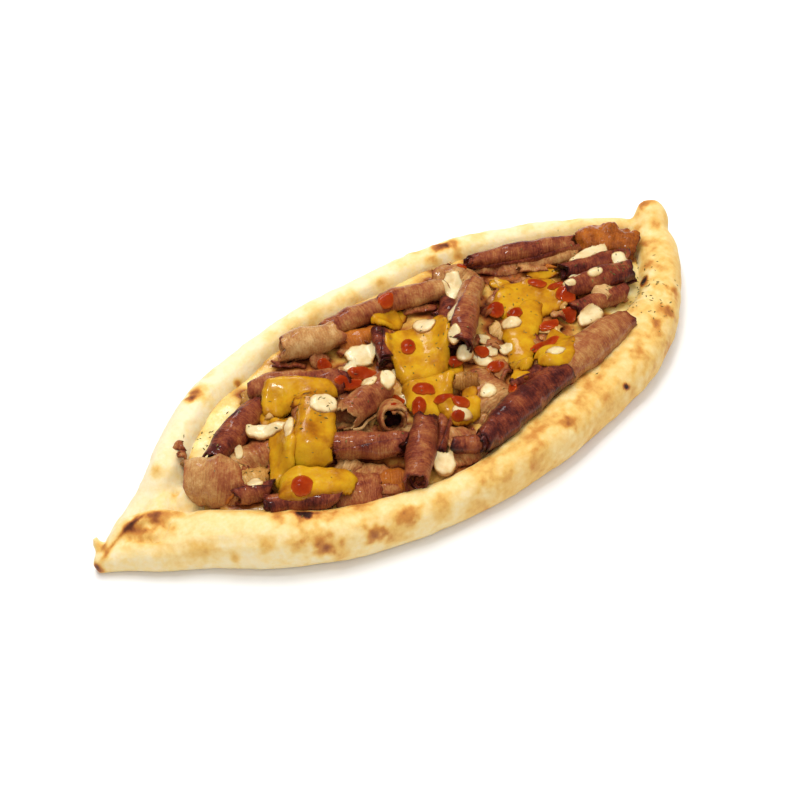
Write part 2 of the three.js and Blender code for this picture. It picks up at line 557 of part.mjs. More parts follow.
// Small drops of white cheese and of red sauce, each one solid with the piece that it lies on.
const drops = [
  { at: [23, 3], length: 8, width: 8, yaw: -41 },
  { at: [-71, 13], length: 5, width: 15, yaw: -41 },
  { at: [-99, 1], length: 7, width: 9, yaw: -41 },
  { at: [-102, 13], length: 5, width: 5, yaw: -41 },
  { at: [-28, 10], length: 7, width: 8, yaw: -41 },
  { at: [22, 8], length: 6, width: 11, yaw: -41 },
  { at: [13, -24], length: 7, width: 10, yaw: -41 },
  { at: [53, 3], length: 10, width: 8, yaw: -41 },
  { at: [124, 0], length: 9, width: 9, yaw: -41 },
  { at: [107, 1], length: 8, width: 7, yaw: -27 },
  { at: [91, 4], length: 7, width: 5, yaw: -41 },
  { at: [-87, -16], length: 9, width: 11, yaw: -41 },
  { at: [-27, 45], length: 7, width: 6, yaw: -21 },
  { at: [-19, 28], length: 13, width: 6, yaw: -41 },
  { at: [-29, 24], length: 13, width: 7, yaw: -34 },
  { at: [4, 20], length: 7, width: 10, yaw: -41 },
  { at: [-9, -5], length: 10, width: 9, yaw: -41 },
  { at: [-17, -11], length: 7, width: 11, yaw: -41 },
  { at: [-5, -15], length: 10, width: 6, yaw: -15 },
  { at: [-1, -21], length: 9, width: 7, yaw: -67 },
  { at: [-7, -26], length: 6, width: 5, yaw: -41 },
  { at: [-20, -0], length: 7, width: 5, yaw: -41 },
  { at: [19, 4], length: 8, width: 5, yaw: -41 },
  { at: [16, 50], length: 8, width: 7, yaw: -15 },
  { at: [69, 55], length: 5, width: 6, yaw: -41 },
  { at: [58, 18], length: 8, width: 9, yaw: -41 },
  { at: [59, 7], length: 8, width: 7, yaw: -15 },
  { at: [83, 16], length: 10, width: 7, yaw: -61 },
  { at: [87, 7], length: 8, width: 5, yaw: -41 },
  { at: [90, 3], length: 9, width: 9, yaw: -79 },
  { at: [70, -6], length: 11, width: 7, yaw: -9 },
  { at: [82, -6], length: 8, width: 7, yaw: -41 },
  { at: [50, -23], length: 14, width: 7, yaw: -9 },
  { at: [33, 1], length: 7, width: 6, yaw: -15 },
  { at: [32, -9], length: 9, width: 8, yaw: -3 },
  { at: [23, -29], length: 4, width: 9, yaw: -41 },
  { at: [35, -1], length: 8, width: 7, yaw: -79 },
];
drops.forEach(dollop);

// The pieces become meshes, set so that the middle of their common box stands on the origin.
const root = new THREE.Group();
for (const [name, { solid, colour }] of placed) {
  const { vertProperties, triVerts, numProp, numVert } = solid.getMesh();
  const position = new Float32Array(numVert * 3);
  for (let i = 0; i < numVert; i++)
    position.set(vertProperties.subarray(i * numProp, i * numProp + 3), i * 3);
  const geometry = new THREE.BufferGeometry();
  geometry.setAttribute("position", new THREE.BufferAttribute(position, 3));
  geometry.setIndex(new THREE.BufferAttribute(triVerts, 1));
  geometry.computeVertexNormals();
  const mesh = new THREE.Mesh(geometry, new THREE.MeshStandardMaterial({ color: colour, roughness: 0.5 }));
  mesh.name = name;
  root.add(mesh);
}
const box = new THREE.Box3().setFromObject(root);
root.position.set(-(box.min.x + box.max.x) / 2, -(box.min.y + box.max.y) / 2, -box.min.z);

export default root;
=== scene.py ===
# %% [markdown]
# A kebab and cheese pide is a boat of flatbread, baked in a stone oven with its filling in place.
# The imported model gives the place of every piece. Here each piece gets its real surface: the
# blistered crust, the ribbed shavings of meat, the melted cheese and the drops of sauce.
# The lesson goes from the bread upwards, because each layer is laid over the one below it.

# %% Load the frame
import math
from itertools import product

import bpy
import numpy as np
from mathutils import Matrix, Vector
from mathutils.bvhtree import BVHTree


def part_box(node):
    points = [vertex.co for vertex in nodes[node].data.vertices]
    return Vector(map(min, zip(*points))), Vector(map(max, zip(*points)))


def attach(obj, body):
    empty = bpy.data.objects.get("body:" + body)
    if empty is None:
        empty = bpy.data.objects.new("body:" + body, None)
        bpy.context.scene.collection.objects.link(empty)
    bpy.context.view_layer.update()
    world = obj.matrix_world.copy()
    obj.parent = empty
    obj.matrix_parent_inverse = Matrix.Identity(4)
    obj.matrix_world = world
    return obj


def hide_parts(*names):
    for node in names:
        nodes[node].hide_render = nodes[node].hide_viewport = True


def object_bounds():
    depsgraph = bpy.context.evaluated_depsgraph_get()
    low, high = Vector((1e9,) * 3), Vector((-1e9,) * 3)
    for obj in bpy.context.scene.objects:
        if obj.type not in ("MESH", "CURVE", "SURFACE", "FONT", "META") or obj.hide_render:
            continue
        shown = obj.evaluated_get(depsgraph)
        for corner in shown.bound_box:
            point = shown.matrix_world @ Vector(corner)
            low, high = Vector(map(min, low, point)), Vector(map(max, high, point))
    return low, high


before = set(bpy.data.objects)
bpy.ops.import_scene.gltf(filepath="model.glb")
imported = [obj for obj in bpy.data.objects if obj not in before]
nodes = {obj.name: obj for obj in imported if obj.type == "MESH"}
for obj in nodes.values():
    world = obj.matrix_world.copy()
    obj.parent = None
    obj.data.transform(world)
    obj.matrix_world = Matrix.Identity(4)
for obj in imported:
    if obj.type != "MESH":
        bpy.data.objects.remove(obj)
cad_box = [list(corner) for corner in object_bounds()]
MM = 0.001
print(len(nodes), "nodes, box", [[round(v, 3) for v in corner] for corner in cad_box])

# %% [markdown]
# Blender works in metres, but food is easier to think about in millimetres, so the shaping is done
# on arrays in millimetres and written back. Everything is deselected before an operator runs,
# because an operator acts on all that is selected.
#
# Dough and melted cheese have no straight faces, so their surfaces are moved by smooth random
# heights of a chosen size: wide ones for lumps, small ones for wrinkles and grain.

# %% Small tools for shaping


def new_object(name, data):
    made = bpy.data.objects.new(name, data)
    bpy.context.scene.collection.objects.link(made)
    return made


def pick(obj):
    bpy.ops.object.select_all(action="DESELECT")
    obj.select_set(True)
    bpy.context.view_layer.objects.active = obj


# A mesh's vertices as an array with a row for each: their places in mm, or their normals.
def points(obj, what="co"):
    flat = np.empty(len(obj.data.vertices) * 3)
    obj.data.vertices.foreach_get(what, flat)
    return flat.reshape(-1, 3) / (MM if what == "co" else 1)


def move_points(obj, places):
    obj.data.vertices.foreach_set("co", (places * MM).ravel())
    obj.data.update()


# Runs one of edit mode's operators on the whole of a mesh.
def edit_all(obj, operator, **settings):
    pick(obj)
    bpy.ops.object.mode_set(mode="EDIT")
    bpy.ops.mesh.select_all(action="SELECT")
    operator(**settings)
    bpy.ops.object.mode_set(mode="OBJECT")


def modify(obj, kind, **settings):
    pick(obj)
    made = obj.modifiers.new(kind.lower(), kind)
    for name, value in settings.items():
        setattr(made, name, value)
    bpy.ops.object.modifier_apply(modifier=made.name)


# Stores a value at each vertex, for a material to read.
def paint(obj, name, values):
    layer = obj.data.attributes.get(name) or obj.data.attributes.new(name, "FLOAT", "POINT")
    layer.data.foreach_set("value", np.asarray(values, np.float32))


# How far a value has come on its way from start to end: 0 up to the start, 1 from the end on.
def between(values, start, end):
    return np.clip((values - start) / (end - start), 0, 1)


# 1 at no distance, and next to nothing from twice the reach on.
def fading(distance, reach):
    return np.exp(-((distance / reach) ** 2))


# Three primes mix the coordinates of a lattice corner, and a step of a random generator spreads them.
PRIMES = np.array([73856093, 19349663, 83492791])
SPREAD, SHIFT = 1103515245, 12345
LARGEST = 0x7FFFFF


# Smooth random heights between -1 and 1. Places further apart than the size are unrelated.
def rough(places, size, seed=0):
    scaled = np.asarray(places, float) / size + seed * 17.31
    cell = np.floor(scaled).astype(np.int64)
    share = scaled - cell
    share = share * share * (3 - 2 * share)
    total = np.zeros(len(scaled))
    for corner in product((0, 1), repeat=3):
        mixed = np.bitwise_xor.reduce((cell + corner) * PRIMES, axis=1)
        mixed = (mixed & 0xFFFFFF) * SPREAD + SHIFT
        mixed = ((mixed >> 7) ^ mixed) & LARGEST
        weight = np.prod(np.where(corner, share, 1 - share), axis=1)
        total += weight * (mixed / LARGEST * 2 - 1)
    return total


print("random heights at three places:", rough([(0, 0, 0), (5, 9, 2), (8, 1, 4)], 3).round(2))

# %% [markdown]
# A material starts from what the real surface is. Colours are written as the sRGB hex values that
# an eye would match, and one function turns them into the linear values that Cycles works with.

# %% Small tools for materials


def colour(code):
    parts = [int(code[i : i + 2], 16) / 255 for i in (0, 2, 4)]
    return tuple(p / 12.92 if p <= 0.04045 else ((p + 0.055) / 1.055) ** 2.4 for p in parts) + (1.0,)


# Fills a node's inputs. A node stands for its first output, and anything but a socket is a set value.
def plug(made, inputs):
    for name, source in inputs.items():
        if isinstance(source, bpy.types.Node):
            source = source.outputs[0]
        if isinstance(source, bpy.types.NodeSocket):
            made.id_data.links.new(source, made.inputs[name])
        else:
            made.inputs[name].default_value = source


# Adds a node with its settings and links. Stops are the places and colours of a colour ramp.
def node(tree, kind, inputs=None, stops=(), **settings):
    made = tree.nodes.new("ShaderNode" + kind)
    for name, value in settings.items():
        setattr(made, name, value)
    plug(made, inputs or {})
    while stops and len(made.color_ramp.elements) < len(stops):
        made.color_ramp.elements.new(0.5)
    for k, (place, code) in enumerate(stops):
        made.color_ramp.elements[k].position = place
        made.color_ramp.elements[k].color = colour(code)
    return made


# The radii of light scattered under the skin are given in metres, so their scale is 1.
def start_material(name, inputs):
    made = bpy.data.materials.new(name)
    made.use_nodes = True
    shader = made.node_tree.nodes["Principled BSDF"]
    plug(shader, {"Subsurface Scale": 1.0, **inputs})
    return made, made.node_tree, shader


# Adds a share of each pattern to a level. A pattern's middle value, 0.5, leaves the level as it is.
def varied(tree, level, patterns):
    for pattern, share in patterns:
        part = node(tree, "Math", {0: pattern, 1: share, 2: -share / 2}, operation="MULTIPLY_ADD")
        level = node(tree, "Math", {0: level, 1: part}, operation="ADD")
    return level


print("white in linear values:", colour("ffffff"))

# %% [markdown]
# The camera looks down at 45 degrees, as the photograph does, with a 70 mm lens, at a place close to
# the middle of the bread. Broad lamps give the soft light of a food picture. Two small ones are there
# for the oily glints, because the wide ones are kept out of the gloss, which they would turn milky.

# %% Camera, floor and light
AIM = Vector((-8.97, 6.54, 0)) * MM
AZIMUTH, ELEVATION, DISTANCE = math.radians(-40.775), math.radians(45), 0.726
# The card lies a little under the bread, or the two would flicker where they touch.
CARD_SIZE, CARD_DROP = 8, 0.4 * MM


def set_up(thing, place, back):
    """Put a camera or a lamp at a place, so that it looks against the direction called back."""
    thing.location = place
    thing.rotation_mode = "QUATERNION"
    thing.rotation_quaternion = (-back).to_track_quat("-Z", "Y")


back = Vector((math.sin(AZIMUTH) * math.cos(ELEVATION), -math.cos(AZIMUTH) * math.cos(ELEVATION),
               math.sin(ELEVATION)))
camera = new_object("camera", bpy.data.cameras.new("camera"))
camera.data.lens = 70
set_up(camera, AIM + back * DISTANCE, back)
bpy.context.scene.camera = camera

bpy.ops.object.select_all(action="DESELECT")
bpy.ops.mesh.primitive_plane_add(size=CARD_SIZE, location=(0, 0, -CARD_DROP))
floor = bpy.context.object
floor.name = "floor"
card, tree, shader = start_material("white_card", {"Base Color": colour("f6f6f6"), "Roughness": 0.9})
# The noise counts from 0 to 1 over the whole card, so 900 of its grains are about 9 mm each.
grain = node(tree, "TexNoise", {"Scale": 900.0})
plug(shader, {"Normal": node(tree, "Bump", {"Height": grain, "Strength": 0.02})})
floor.data.materials.append(card)

# Place in metres, size in metres, power in watts, and whether the lamp shows in glossy surfaces.
LIGHTS = {
    "overhead": ((0.10, 0.30, 0.95), (0.7, 0.5), 6.9, False),
    "camera_side": ((-0.45, -0.65, 0.8), (0.7, 0.7), 3.0, False),
    "right_fill": ((0.8, -0.35, 0.6), (0.6, 0.6), 1.5, False),
    "sparkle": ((-0.25, 0.05, 1.0), (0.11, 0.11), 1.6, True),
    "window": ((0.25, 0.75, 0.8), (0.30, 0.22), 1.6, True),
}
for name, (place, size, power, glossy) in LIGHTS.items():
    lamp = new_object(name, bpy.data.lights.new(name, "AREA"))
    lamp.data.shape = "RECTANGLE"
    lamp.data.size, lamp.data.size_y = size
    lamp.data.energy = power
    lamp.visible_glossy = glossy
    set_up(lamp, place, Vector(place))
world = bpy.data.worlds.new("studio")
world.use_nodes = True
plug(world.node_tree.nodes["Background"], {"Color": colour("ffffff"), "Strength": 0.45})
world.cycles_visibility.glossy = False
bpy.context.scene.world = world
bpy.context.scene.view_settings.view_transform = "Standard"
print("camera at", [round(v, 3) for v in camera.location])

# %% [markdown]
# Baked dough is matt and cream coloured. Where it is thin or stands up it browns first, and where
# it meets the oven's heat it burns in round spots. How far each point is baked is painted on the
# mesh, from 0 for pale to 1 for burnt, and the material turns that into a colour. The same painted
# level also carries painted shade and painted light on some parts of the crust.

# %% Baked dough
dough, tree, shader = start_material("baked_dough", {
    "Roughness": 0.62, "Subsurface Weight": 0.12, "Subsurface Radius": (0.004, 0.002, 0.001)})
place = node(tree, "TexCoord").outputs["Object"]
# The browning is uneven in patches of 11 mm, mottles of 4.8 mm and freckles of 2.2 mm.
patches = node(tree, "TexNoise", {"Vector": place, "Scale": 1 / 0.011, "Detail": 3.0, "Roughness": 0.5})
mottles = node(tree, "TexNoise", {"Vector": place, "Scale": 1 / 0.0048, "Detail": 5.0, "Roughness": 0.65})
freckles = node(tree, "TexNoise", {"Vector": place, "Scale": 1 / 0.0022, "Detail": 3.0})
# Besides the baking, this painted level holds painted shade and painted light.
bake_light_and_shade = node(tree, "Attribute", attribute_name="bake_light_and_shade").outputs["Fac"]
baked_lit_and_shaded = varied(tree, bake_light_and_shade, ((patches, 0.26), (mottles, 0.3), (freckles, 0.18)))
browns = node(tree, "ValToRGB", {0: baked_lit_and_shaded}, [
    (0.0, "ecdcb5"), (0.16, "ecd08f"), (0.34, "e3b660"), (0.5, "c98637"), (0.66, "9c5726"),
    (0.82, "673219"), (1.0, "261512")])
# Flour and fine bubbles leave a dull skin with pits of about 1.6 mm.
pits = node(tree, "TexNoise", {"Vector": place, "Scale": 1 / 0.0016, "Detail": 6.0, "Roughness": 0.65})
skin = node(tree, "Bump", {"Height": pits, "Strength": 0.5, "Distance": 0.0008})
plug(shader, {"Base Color": browns, "Normal": skin})
print("dough ready")

# %% [markdown]
# The bread is one body of dough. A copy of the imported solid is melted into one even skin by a
# voxel remesh, and smoothing takes away its facets, as proving and baking round off raw dough.
# Wide lumps and small blisters are then moved in along the skin's normals.

# %% The crust


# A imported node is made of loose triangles, so its copy is merged before it is shaped.
def merged_copy(name, node_name):
    made = new_object(name, nodes[node_name].data.copy())
    edit_all(made, bpy.ops.mesh.remove_doubles, threshold=1e-6)
    return made


# Every finished piece lies on the one body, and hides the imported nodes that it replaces.
def finish_piece(obj, material, replaced=()):
    pick(obj)
    obj.data.materials.clear()
    obj.data.materials.append(material)
    bpy.ops.object.shade_smooth()
    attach(obj, "root")
    if replaced:
        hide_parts(*replaced)


# The voxels of the skin are small enough to keep the folds.
SKIN_VOXEL = 1.1 * MM
# Dough that fills the corner behind the fold: middle and half sizes in mm. It lies along the rim.
FOLD_TURN = math.radians(29)
FOLD_DOUGH = [((-136, 17, 6), (17, 8, 7.5)), ((-149, 14, 5), (11, 5.5, 6.5)), ((-122, 25, 8), (12, 6.5, 7)),
              ((-110, 32, 8), (11, 5, 6)), ((-124, 12, 8), (8, 6.5, 7.6))]

# Creases pressed in by the baker's fingers: the line in mm, its half width and its depth.
POUCH = [(-156, 9, 11.5), (-153, 5, 13), (-150, 1, 14), (-147, 0, 14.6), (-144, 1.5, 15.3),
         (-141.5, 3, 15.6)]
CREASES = [(POUCH, 1.3, 2.8), ([(-127, 17.5, 11), (-126, 13, 13), (-126, 9, 13)], 1.3, 1.4),
           ([(-152, -2, 12), (-153, -5, 9), (-152, -9, 6)], 1.4, 0.7)]


# How far each place is from a line that goes from point to point.
def from_line(places, line):
    line = np.array(line, float)
    nearest = np.full(len(places), np.inf)
    for start, leg in zip(line[:-1], np.diff(line, axis=0)):
        along = np.clip((places - start) @ leg / (leg @ leg), 0, 1)
        nearest = np.minimum(nearest, np.linalg.norm(places - start - along[:, None] * leg, axis=1))
    return nearest


crust = merged_copy("pide_crust", "crust")
# The near rim is broadest towards the right, where it leans in over the filling. Inward is measured
# square to the rim, and only the inner half of the rim moves.
co, normal = points(crust), points(crust, "normal")
lean = np.clip(normal[:, 1] * 1.3 + 0.25, 0, 1) * between(co[:, 1], -12, -20) * between(co[:, 2], 0, 10)
lean *= np.interp(co[:, 0], (-25, 30, 75, 100, 120), (0, 5.5, 7.5, 5.5, 0))
sideways = np.interp(co[:, 0], (30, 75, 125), (0.1, 0.35, 0.6))
co += lean[:, None] * np.stack([-sideways, np.sqrt(1 - sideways**2), np.full(len(co), 0.15)], 1)
move_points(crust, co)
lumps = []
for middle, half in FOLD_DOUGH:
    bpy.ops.object.select_all(action="DESELECT")
    bpy.ops.mesh.primitive_uv_sphere_add(segments=24, ring_count=12, radius=MM, scale=half,
                                         location=Vector(middle) * MM, rotation=(0, 0, FOLD_TURN))
    bpy.ops.object.transform_apply(location=True, rotation=True, scale=True)
    lumps.append(bpy.context.object)
pick(crust)
for lump in lumps:
    lump.select_set(True)
bpy.ops.object.join()
modify(crust, "REMESH", mode="VOXEL", voxel_size=SKIN_VOXEL)
# The folded end is thin, so it is smoothed far less than the rest.
even = crust.vertex_groups.new(name="even")
for k, share in enumerate(0.12 + 0.88 * between(points(crust)[:, 0], -128, -98)):
    even.add([k], share, "REPLACE")
modify(crust, "SMOOTH", factor=0.5, iterations=26, vertex_group="even")

co, normal = points(crust), points(crust, "normal")
rise = 0.65 * rough(co, 17, 1) + 0.4 * rough(co, 7.5, 2) + 0.16 * rough(co, 3.1, 3)
blisters = np.clip(rough(co, 6, 9) - 0.55, 0, 1) * 1.6
# Under the knob at the right end the dough is pinched in by 2 mm.
pinch = 2.0 * fading(np.linalg.norm((co - (164, -1, 12)) * (1, 1, 0.5), axis=1), 6)
folds = sum(depth * fading(from_line(co, line), width) for line, width, depth in CREASES)
co += normal * ((rise + blisters) * between(co[:, 2], 0, 5) - folds - pinch)[:, None]
co[:, 2] = np.maximum(co[:, 2], 0.0)
move_points(crust, co)
print("crust:", len(crust.data.polygons), "faces")

# %% [markdown]
# Browning follows rules: the tops of the rims, most of all towards the filling, are golden, and the
# undersides and the hollows stay pale. The spots from the oven are listed by place, reach and
# strength, and their edges are broken up by the same random heights as the dough. Some of the level
# is painted light and shade: the near side, the shaded foot and wall and a crease are darkened, and
# the far rim is lightened.

# %% How far the crust is baked, with painted light and shade
# Middle of each spot in mm, its reach in mm and how much it adds.
SPOTS = [
    (-117.5, -34.5, 17, 4, 0.3), (-139, -15.5, 13.7, 6, 0.24), (-134, -19, 13, 4, 0.12),
    (-149.6, -7.3, 12, 6, 0.14), (-128.6, -27, 11.5, 2.6, 0.26), (-108, -42, 15, 3.4, 0.24),
    (-99, -47, 15, 6, 0.34), (-101, -50, 12, 4, 0.14), (-79.5, -58, 15, 5, 0.42), (-96, -56, 8, 7, 0.2),
    (-118, -45, 7, 7, 0.16), (-69, -63, 11, 7, 0.2), (-61, -60, 17.6, 5, 0.32),
    (-84, -44, 19.5, 4.5, 0.14), (-140, -2, 16, 3, 0.14), (-46, -65, 16, 5, 0.2), (-30, -71, 9, 6, 0.2),
    (-16, -72, 15, 5, 0.14), (-20, -62, 19, 8, 0.13), (1, -73, 14, 6, 0.16), (6, -69, 20, 4, 0.16),
    (26, -68, 19.5, 4, 0.34), (11, -62, 20, 4, 0.12), (50, -67, 18, 4, 0.14), (38, -64, 20, 5, 0.08),
    (50, -51, 17, 5, 0.14), (66, -47, 20, 5, 0.12), (65, -66.5, 15.5, 1.5, 0.75), (84, -56, 20, 5, 0.14),
    (-151, 9.5, 14, 4.5, 0.26), (-153.5, 11.5, 14, 2.5, 0.1), (-142.5, 10, 16.6, 3, 0.22),
    (-172, 11, 4, 3, 0.55), (-166, 15, 10, 3, 0.4), (-133, 5, 16, 5, 0.14), (-96.5, -34, 21, 3, 1.0),
    (-96.5, -34, 21, 8, 0.22), (-107, -28, 21, 4, 0.24), (-74, -45, 19.5, 5, 0.26), (-89, 56, 19, 5, 0.6),
    (-93, 53.5, 17, 3.5, 0.4), (-128.5, 29, 17.8, 3, 0.36), (-128, 16.4, 11.4, 2.5, 0.3),
    (-68, 52, 15, 2.4, 0.5), (-42, 63, 20, 4, 0.14), (-13, 65, 20, 6, 0.18), (1, 62, 19, 4, 0.2),
    (9, 61, 18, 4, 0.2), (-29, 63, 20, 5, 0.18), (-77, 63, 18, 4, 0.18), (25, 60, 18, 4, 0.2),
    (41, 64, 20, 5, 0.2), (53, 67, 19, 5, 0.3), (63, 60, 19, 4.5, 0.75), (70, 58, 19, 4.5, 0.5),
    (56, 55, 18, 4, 0.36), (68, 52, 17, 3.5, 0.34), (83, 56, 20, 6, 0.2), (107, 47, 19, 6, 0.18),
    (129, 34, 18, 6, 0.16), (124, -21.6, 17, 2.6, 0.6), (123, -33, 20, 4, 0.2),
    (115, -46, 18.5, 4.5, 0.34), (103, -49, 20, 3.6, 0.26), (98, -51, 20, 5, 0.12),
    # The four spots with a reach of 28 to 40 mm, low on the near and right sides, toast the outer wall and
    # are also painted shade on its shaded lower part.
    (128, -38, 19, 4, 0.26), (137, -20, 21, 6, 0.14), (103, -58, 12, 6, 0.16), (110, -57, 8, 36, 0.14),
    (55, -75, 7, 32, 0.13), (152, -24, 12, 28, 0.14), (0, -79, 4, 40, 0.1), (-151, 6, 13.5, 8, 0.2),
    (-146, 6, 14.5, 7, 0.16), (-85, -50, 13, 19, 0.05), (-99, -41, 12, 12, 0.03),
    (-66, -57, 14, 16, 0.03), (163, 15, 24, 5, 0.4), (156, 1, 21, 5, 0.16), (148, -7, 20, 5, 0.16),
    (158, 17, 18, 4, 0.2),
]
co, normal = points(crust), points(crust, "normal")
up = np.clip(normal[:, 2], -1, 1)
height = between(co[:, 2], 11, 19)
inward = np.where(co[:, 1] < 0, normal[:, 1], -normal[:, 1])
bake_light_and_shade_level = 0.08 + 0.07 * height * np.clip(up, 0, 1) ** 2 + 0.05 * rough(co, 24, 5)
# Painted shade: the near side, which the camera-side lamp lights brightly, is made browner from the
# left end on. Painted light: the far side, which gets little lamp light, is made paler.
bake_light_and_shade_level += 0.09 * np.clip(-normal[:, 1], 0, 1) * between(co[:, 0], -90, -30)
bake_light_and_shade_level -= 0.12 * between(co[:, 1], 20, 40)
# The slopes towards the filling are the brownest. The foot of the bread has a toasted line, and the
# same term darkens its shaded underside as painted shade.
bake_light_and_shade_level += 0.16 * np.clip(inward, 0, 1) * height * (0.7 + 0.6 * rough(co, 15, 7))
bake_light_and_shade_level += 0.10 * np.clip(-up + 0.2, 0, 1) * between(co[:, 2], 6, 0)
# The spots and lines have a ragged outline.
warp = 1 + 0.4 * rough(co, 5, 11) + 0.35 * rough(co, 2.2, 12)
for x, y, z, reach, strength in SPOTS:
    away = np.linalg.norm((co - (x, y, z)) * (1, 1, 0.8), axis=1) / (reach * np.clip(warp, 0.4, 2))
    bake_light_and_shade_level += strength * np.exp(-(away**2.6) * 1.2)
# Lines that are browner, most of them along edges that stand up, and one of painted shade down the
# pouch crease: the line in mm, its half width and how much it adds.
BROWN_LINES_AND_CREASE_SHADE = [
    ([(-172, 11, 5), (-168, 10.3, 9), (-162.7, 12, 11), (-157.4, 12.7, 13), (-153.2, 13.3, 15),
      (-146.5, 12.5, 16.4)], 1.0, 0.42),
    ([(-155, 10.5, 12.6), (-149.5, 9.5, 14.5), (-144, 8, 16), (-136.4, 8.8, 15.8)], 3.0, 0.14),
    # Painted shade along the pouch crease.
    (POUCH, 0.9, 0.3),
    ([(-142, 9, 16.7), (-127, 3, 17), (-120, -7, 19), (-110, -19, 20), (-104, -27, 21),
      (-88, -38, 20)], 3.2, 0.2),
    ([(-88, -38, 20), (-67, -46, 19), (-51, -52, 19), (-33, -57, 19), (-14, -62, 20),
      (7, -64, 20)], 2.6, 0.12),
    ([(7, -64, 20), (34, -62, 19.5), (59, -56, 19), (80, -49, 20), (91, -43, 18.6)], 2.6, 0.12),
    ([(-101, 35, 16), (-92, 40, 16), (-83, 43, 17), (-74, 47, 16), (-64, 51, 15)], 2.2, 0.2),
    ([(151, 8, 16.5), (143, -4, 17), (134, -14, 17), (124, -22, 16), (114, -29, 16),
      (103, -36, 16.5)], 2.6, 0.2),
]
for line, width, strength in BROWN_LINES_AND_CREASE_SHADE:
    bake_light_and_shade_level += strength * fading(from_line(co, line), width * np.clip(warp, 0.5, 2))
paint(crust, "bake_light_and_shade", np.clip(bake_light_and_shade_level, 0, 1))
finish_piece(crust, dough, ["crust"])
print("spots:", len(SPOTS), "lines:", len(BROWN_LINES_AND_CREASE_SHADE))

# %% [markdown]
# The layers above are laid over what is below them, so the heights of all that is there are kept
# on a grid over the plan. A ray dropped from above finds the top of a piece at each grid point.

# %% Heights of the pile
# The grid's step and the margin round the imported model, in mm.
STEP, MARGIN = 0.7, 4
LOW = np.array(cad_box[0][:2]) / MM - MARGIN
COUNT = [int((cad_box[1][k] / MM + MARGIN - LOW[k]) / STEP) for k in (0, 1)]
GRID = np.stack(np.meshgrid(*[LOW[k] + STEP * np.arange(COUNT[k]) for k in (0, 1)], indexing="ij"), -1)
pile = np.zeros(COUNT)


# The part of the grid between two places in the plan, and a pad in mm round it.
def window(low, high, pad=0):
    first = [max(int((low[k] - pad - LOW[k]) / STEP), 0) for k in (0, 1)]
    last = [min(int((high[k] + pad - LOW[k]) / STEP) + 2, COUNT[k]) for k in (0, 1)]
    return slice(first[0], last[0]), slice(first[1], last[1])


# The grid point nearest to each place.
def cell_of(places):
    return tuple(np.rint((np.asarray(places)[..., :2] - LOW) / STEP).astype(int).T)


# How high the top of a piece is over each point of its part of the grid, and nan where it isn't.
def tops(obj):
    co = points(obj)
    area = window(co.min(0), co.max(0))
    tree = BVHTree.FromObject(obj, bpy.context.evaluated_depsgraph_get())
    spots = GRID[area]
    found = np.full(spots.shape[:2], np.nan)
    for i, j in np.ndindex(found.shape):
        hit = tree.ray_cast(Vector((spots[i, j, 0] * MM, spots[i, j, 1] * MM, 0.1)), Vector((0, 0, -1)))
        if hit[0] is not None:
            found[i, j] = hit[0].z / MM
    return area, found


# Adds a piece to the pile.
def lay(obj):
    area, found = tops(obj)
    pile[area] = np.fmax(pile[area], found)


# Means over a square window, taken three times, which is close to a round blur.
def blurred(values, reach):
    for _ in range(3):
        n = max(int(reach / STEP), 1)
        for axis in (0, 1):
            pad = [(n + 1, n) if k == axis else (0, 0) for k in (0, 1)]
            total = np.cumsum(np.pad(values, pad, mode="edge"), axis=axis)
            size = values.shape[axis]
            values = (np.take(total, range(2 * n + 1, 2 * n + 1 + size), axis)
                      - np.take(total, range(size), axis)) / (2 * n + 1)
    return values


lay(crust)
print("grid", COUNT, "highest bread", round(float(pile.max()), 1))

# %% [markdown]
# Melted cheese lies over the floor of the bread from rim to rim. It is pale, oily and slightly see
# through, and where meat lies on it the juice has stained it and painted shade darkens it.

# %% Melted cheese
melt, tree, shader = start_material("melted_cheese", {
    "Roughness": 0.28, "Subsurface Weight": 0.3, "Subsurface Radius": (0.004, 0.003, 0.0012),
    "Coat Weight": 0.3, "Coat Roughness": 0.12})
place = node(tree, "TexCoord").outputs["Object"]
# Clouds of 9 mm, from cream to toasted, and above them the tones of cheese soaked with juice, which
# beside the meat are also painted shade.
cloud = node(tree, "TexNoise", {"Vector": place, "Scale": 1 / 0.009, "Detail": 6.0, "Roughness": 0.65})
juice_stain_and_shade = node(tree, "Attribute", attribute_name="juice_stain_and_shade").outputs["Fac"]
tone = node(tree, "Math", {0: cloud, 1: 0.9, 2: -0.4}, operation="MULTIPLY_ADD")
soaked_and_shaded = node(tree, "Math", {0: tone, 1: juice_stain_and_shade}, operation="ADD")
creams = node(tree, "ValToRGB", {0: soaked_and_shaded}, [
    (0.0, "f3e0a4"), (0.2, "eccf82"), (0.45, "d8a850"), (0.7, "a45c26"), (1.0, "521d0c")])
bubbles = node(tree, "TexNoise", {"Vector": place, "Scale": 1 / 0.0026, "Detail": 5.0})
skin = node(tree, "Bump", {"Height": bubbles, "Strength": 0.5, "Distance": 0.0012})
plug(shader, {"Base Color": creams, "Normal": skin})

bed = merged_copy("cheese_layer", "cheese_bed")
modify(bed, "REMESH", mode="VOXEL", voxel_size=SKIN_VOXEL)
modify(bed, "SMOOTH", factor=0.5, iterations=10)
co, normal = points(bed), points(bed, "normal")
upward = np.clip(normal[:, 2], 0, 1)
rise = 0.5 + 0.8 * rough(co, 9, 21) + 0.35 * rough(co, 3.7, 22) + 0.12 * rough(co, 1.8, 23)
co += normal * (rise * upward)[:, None]
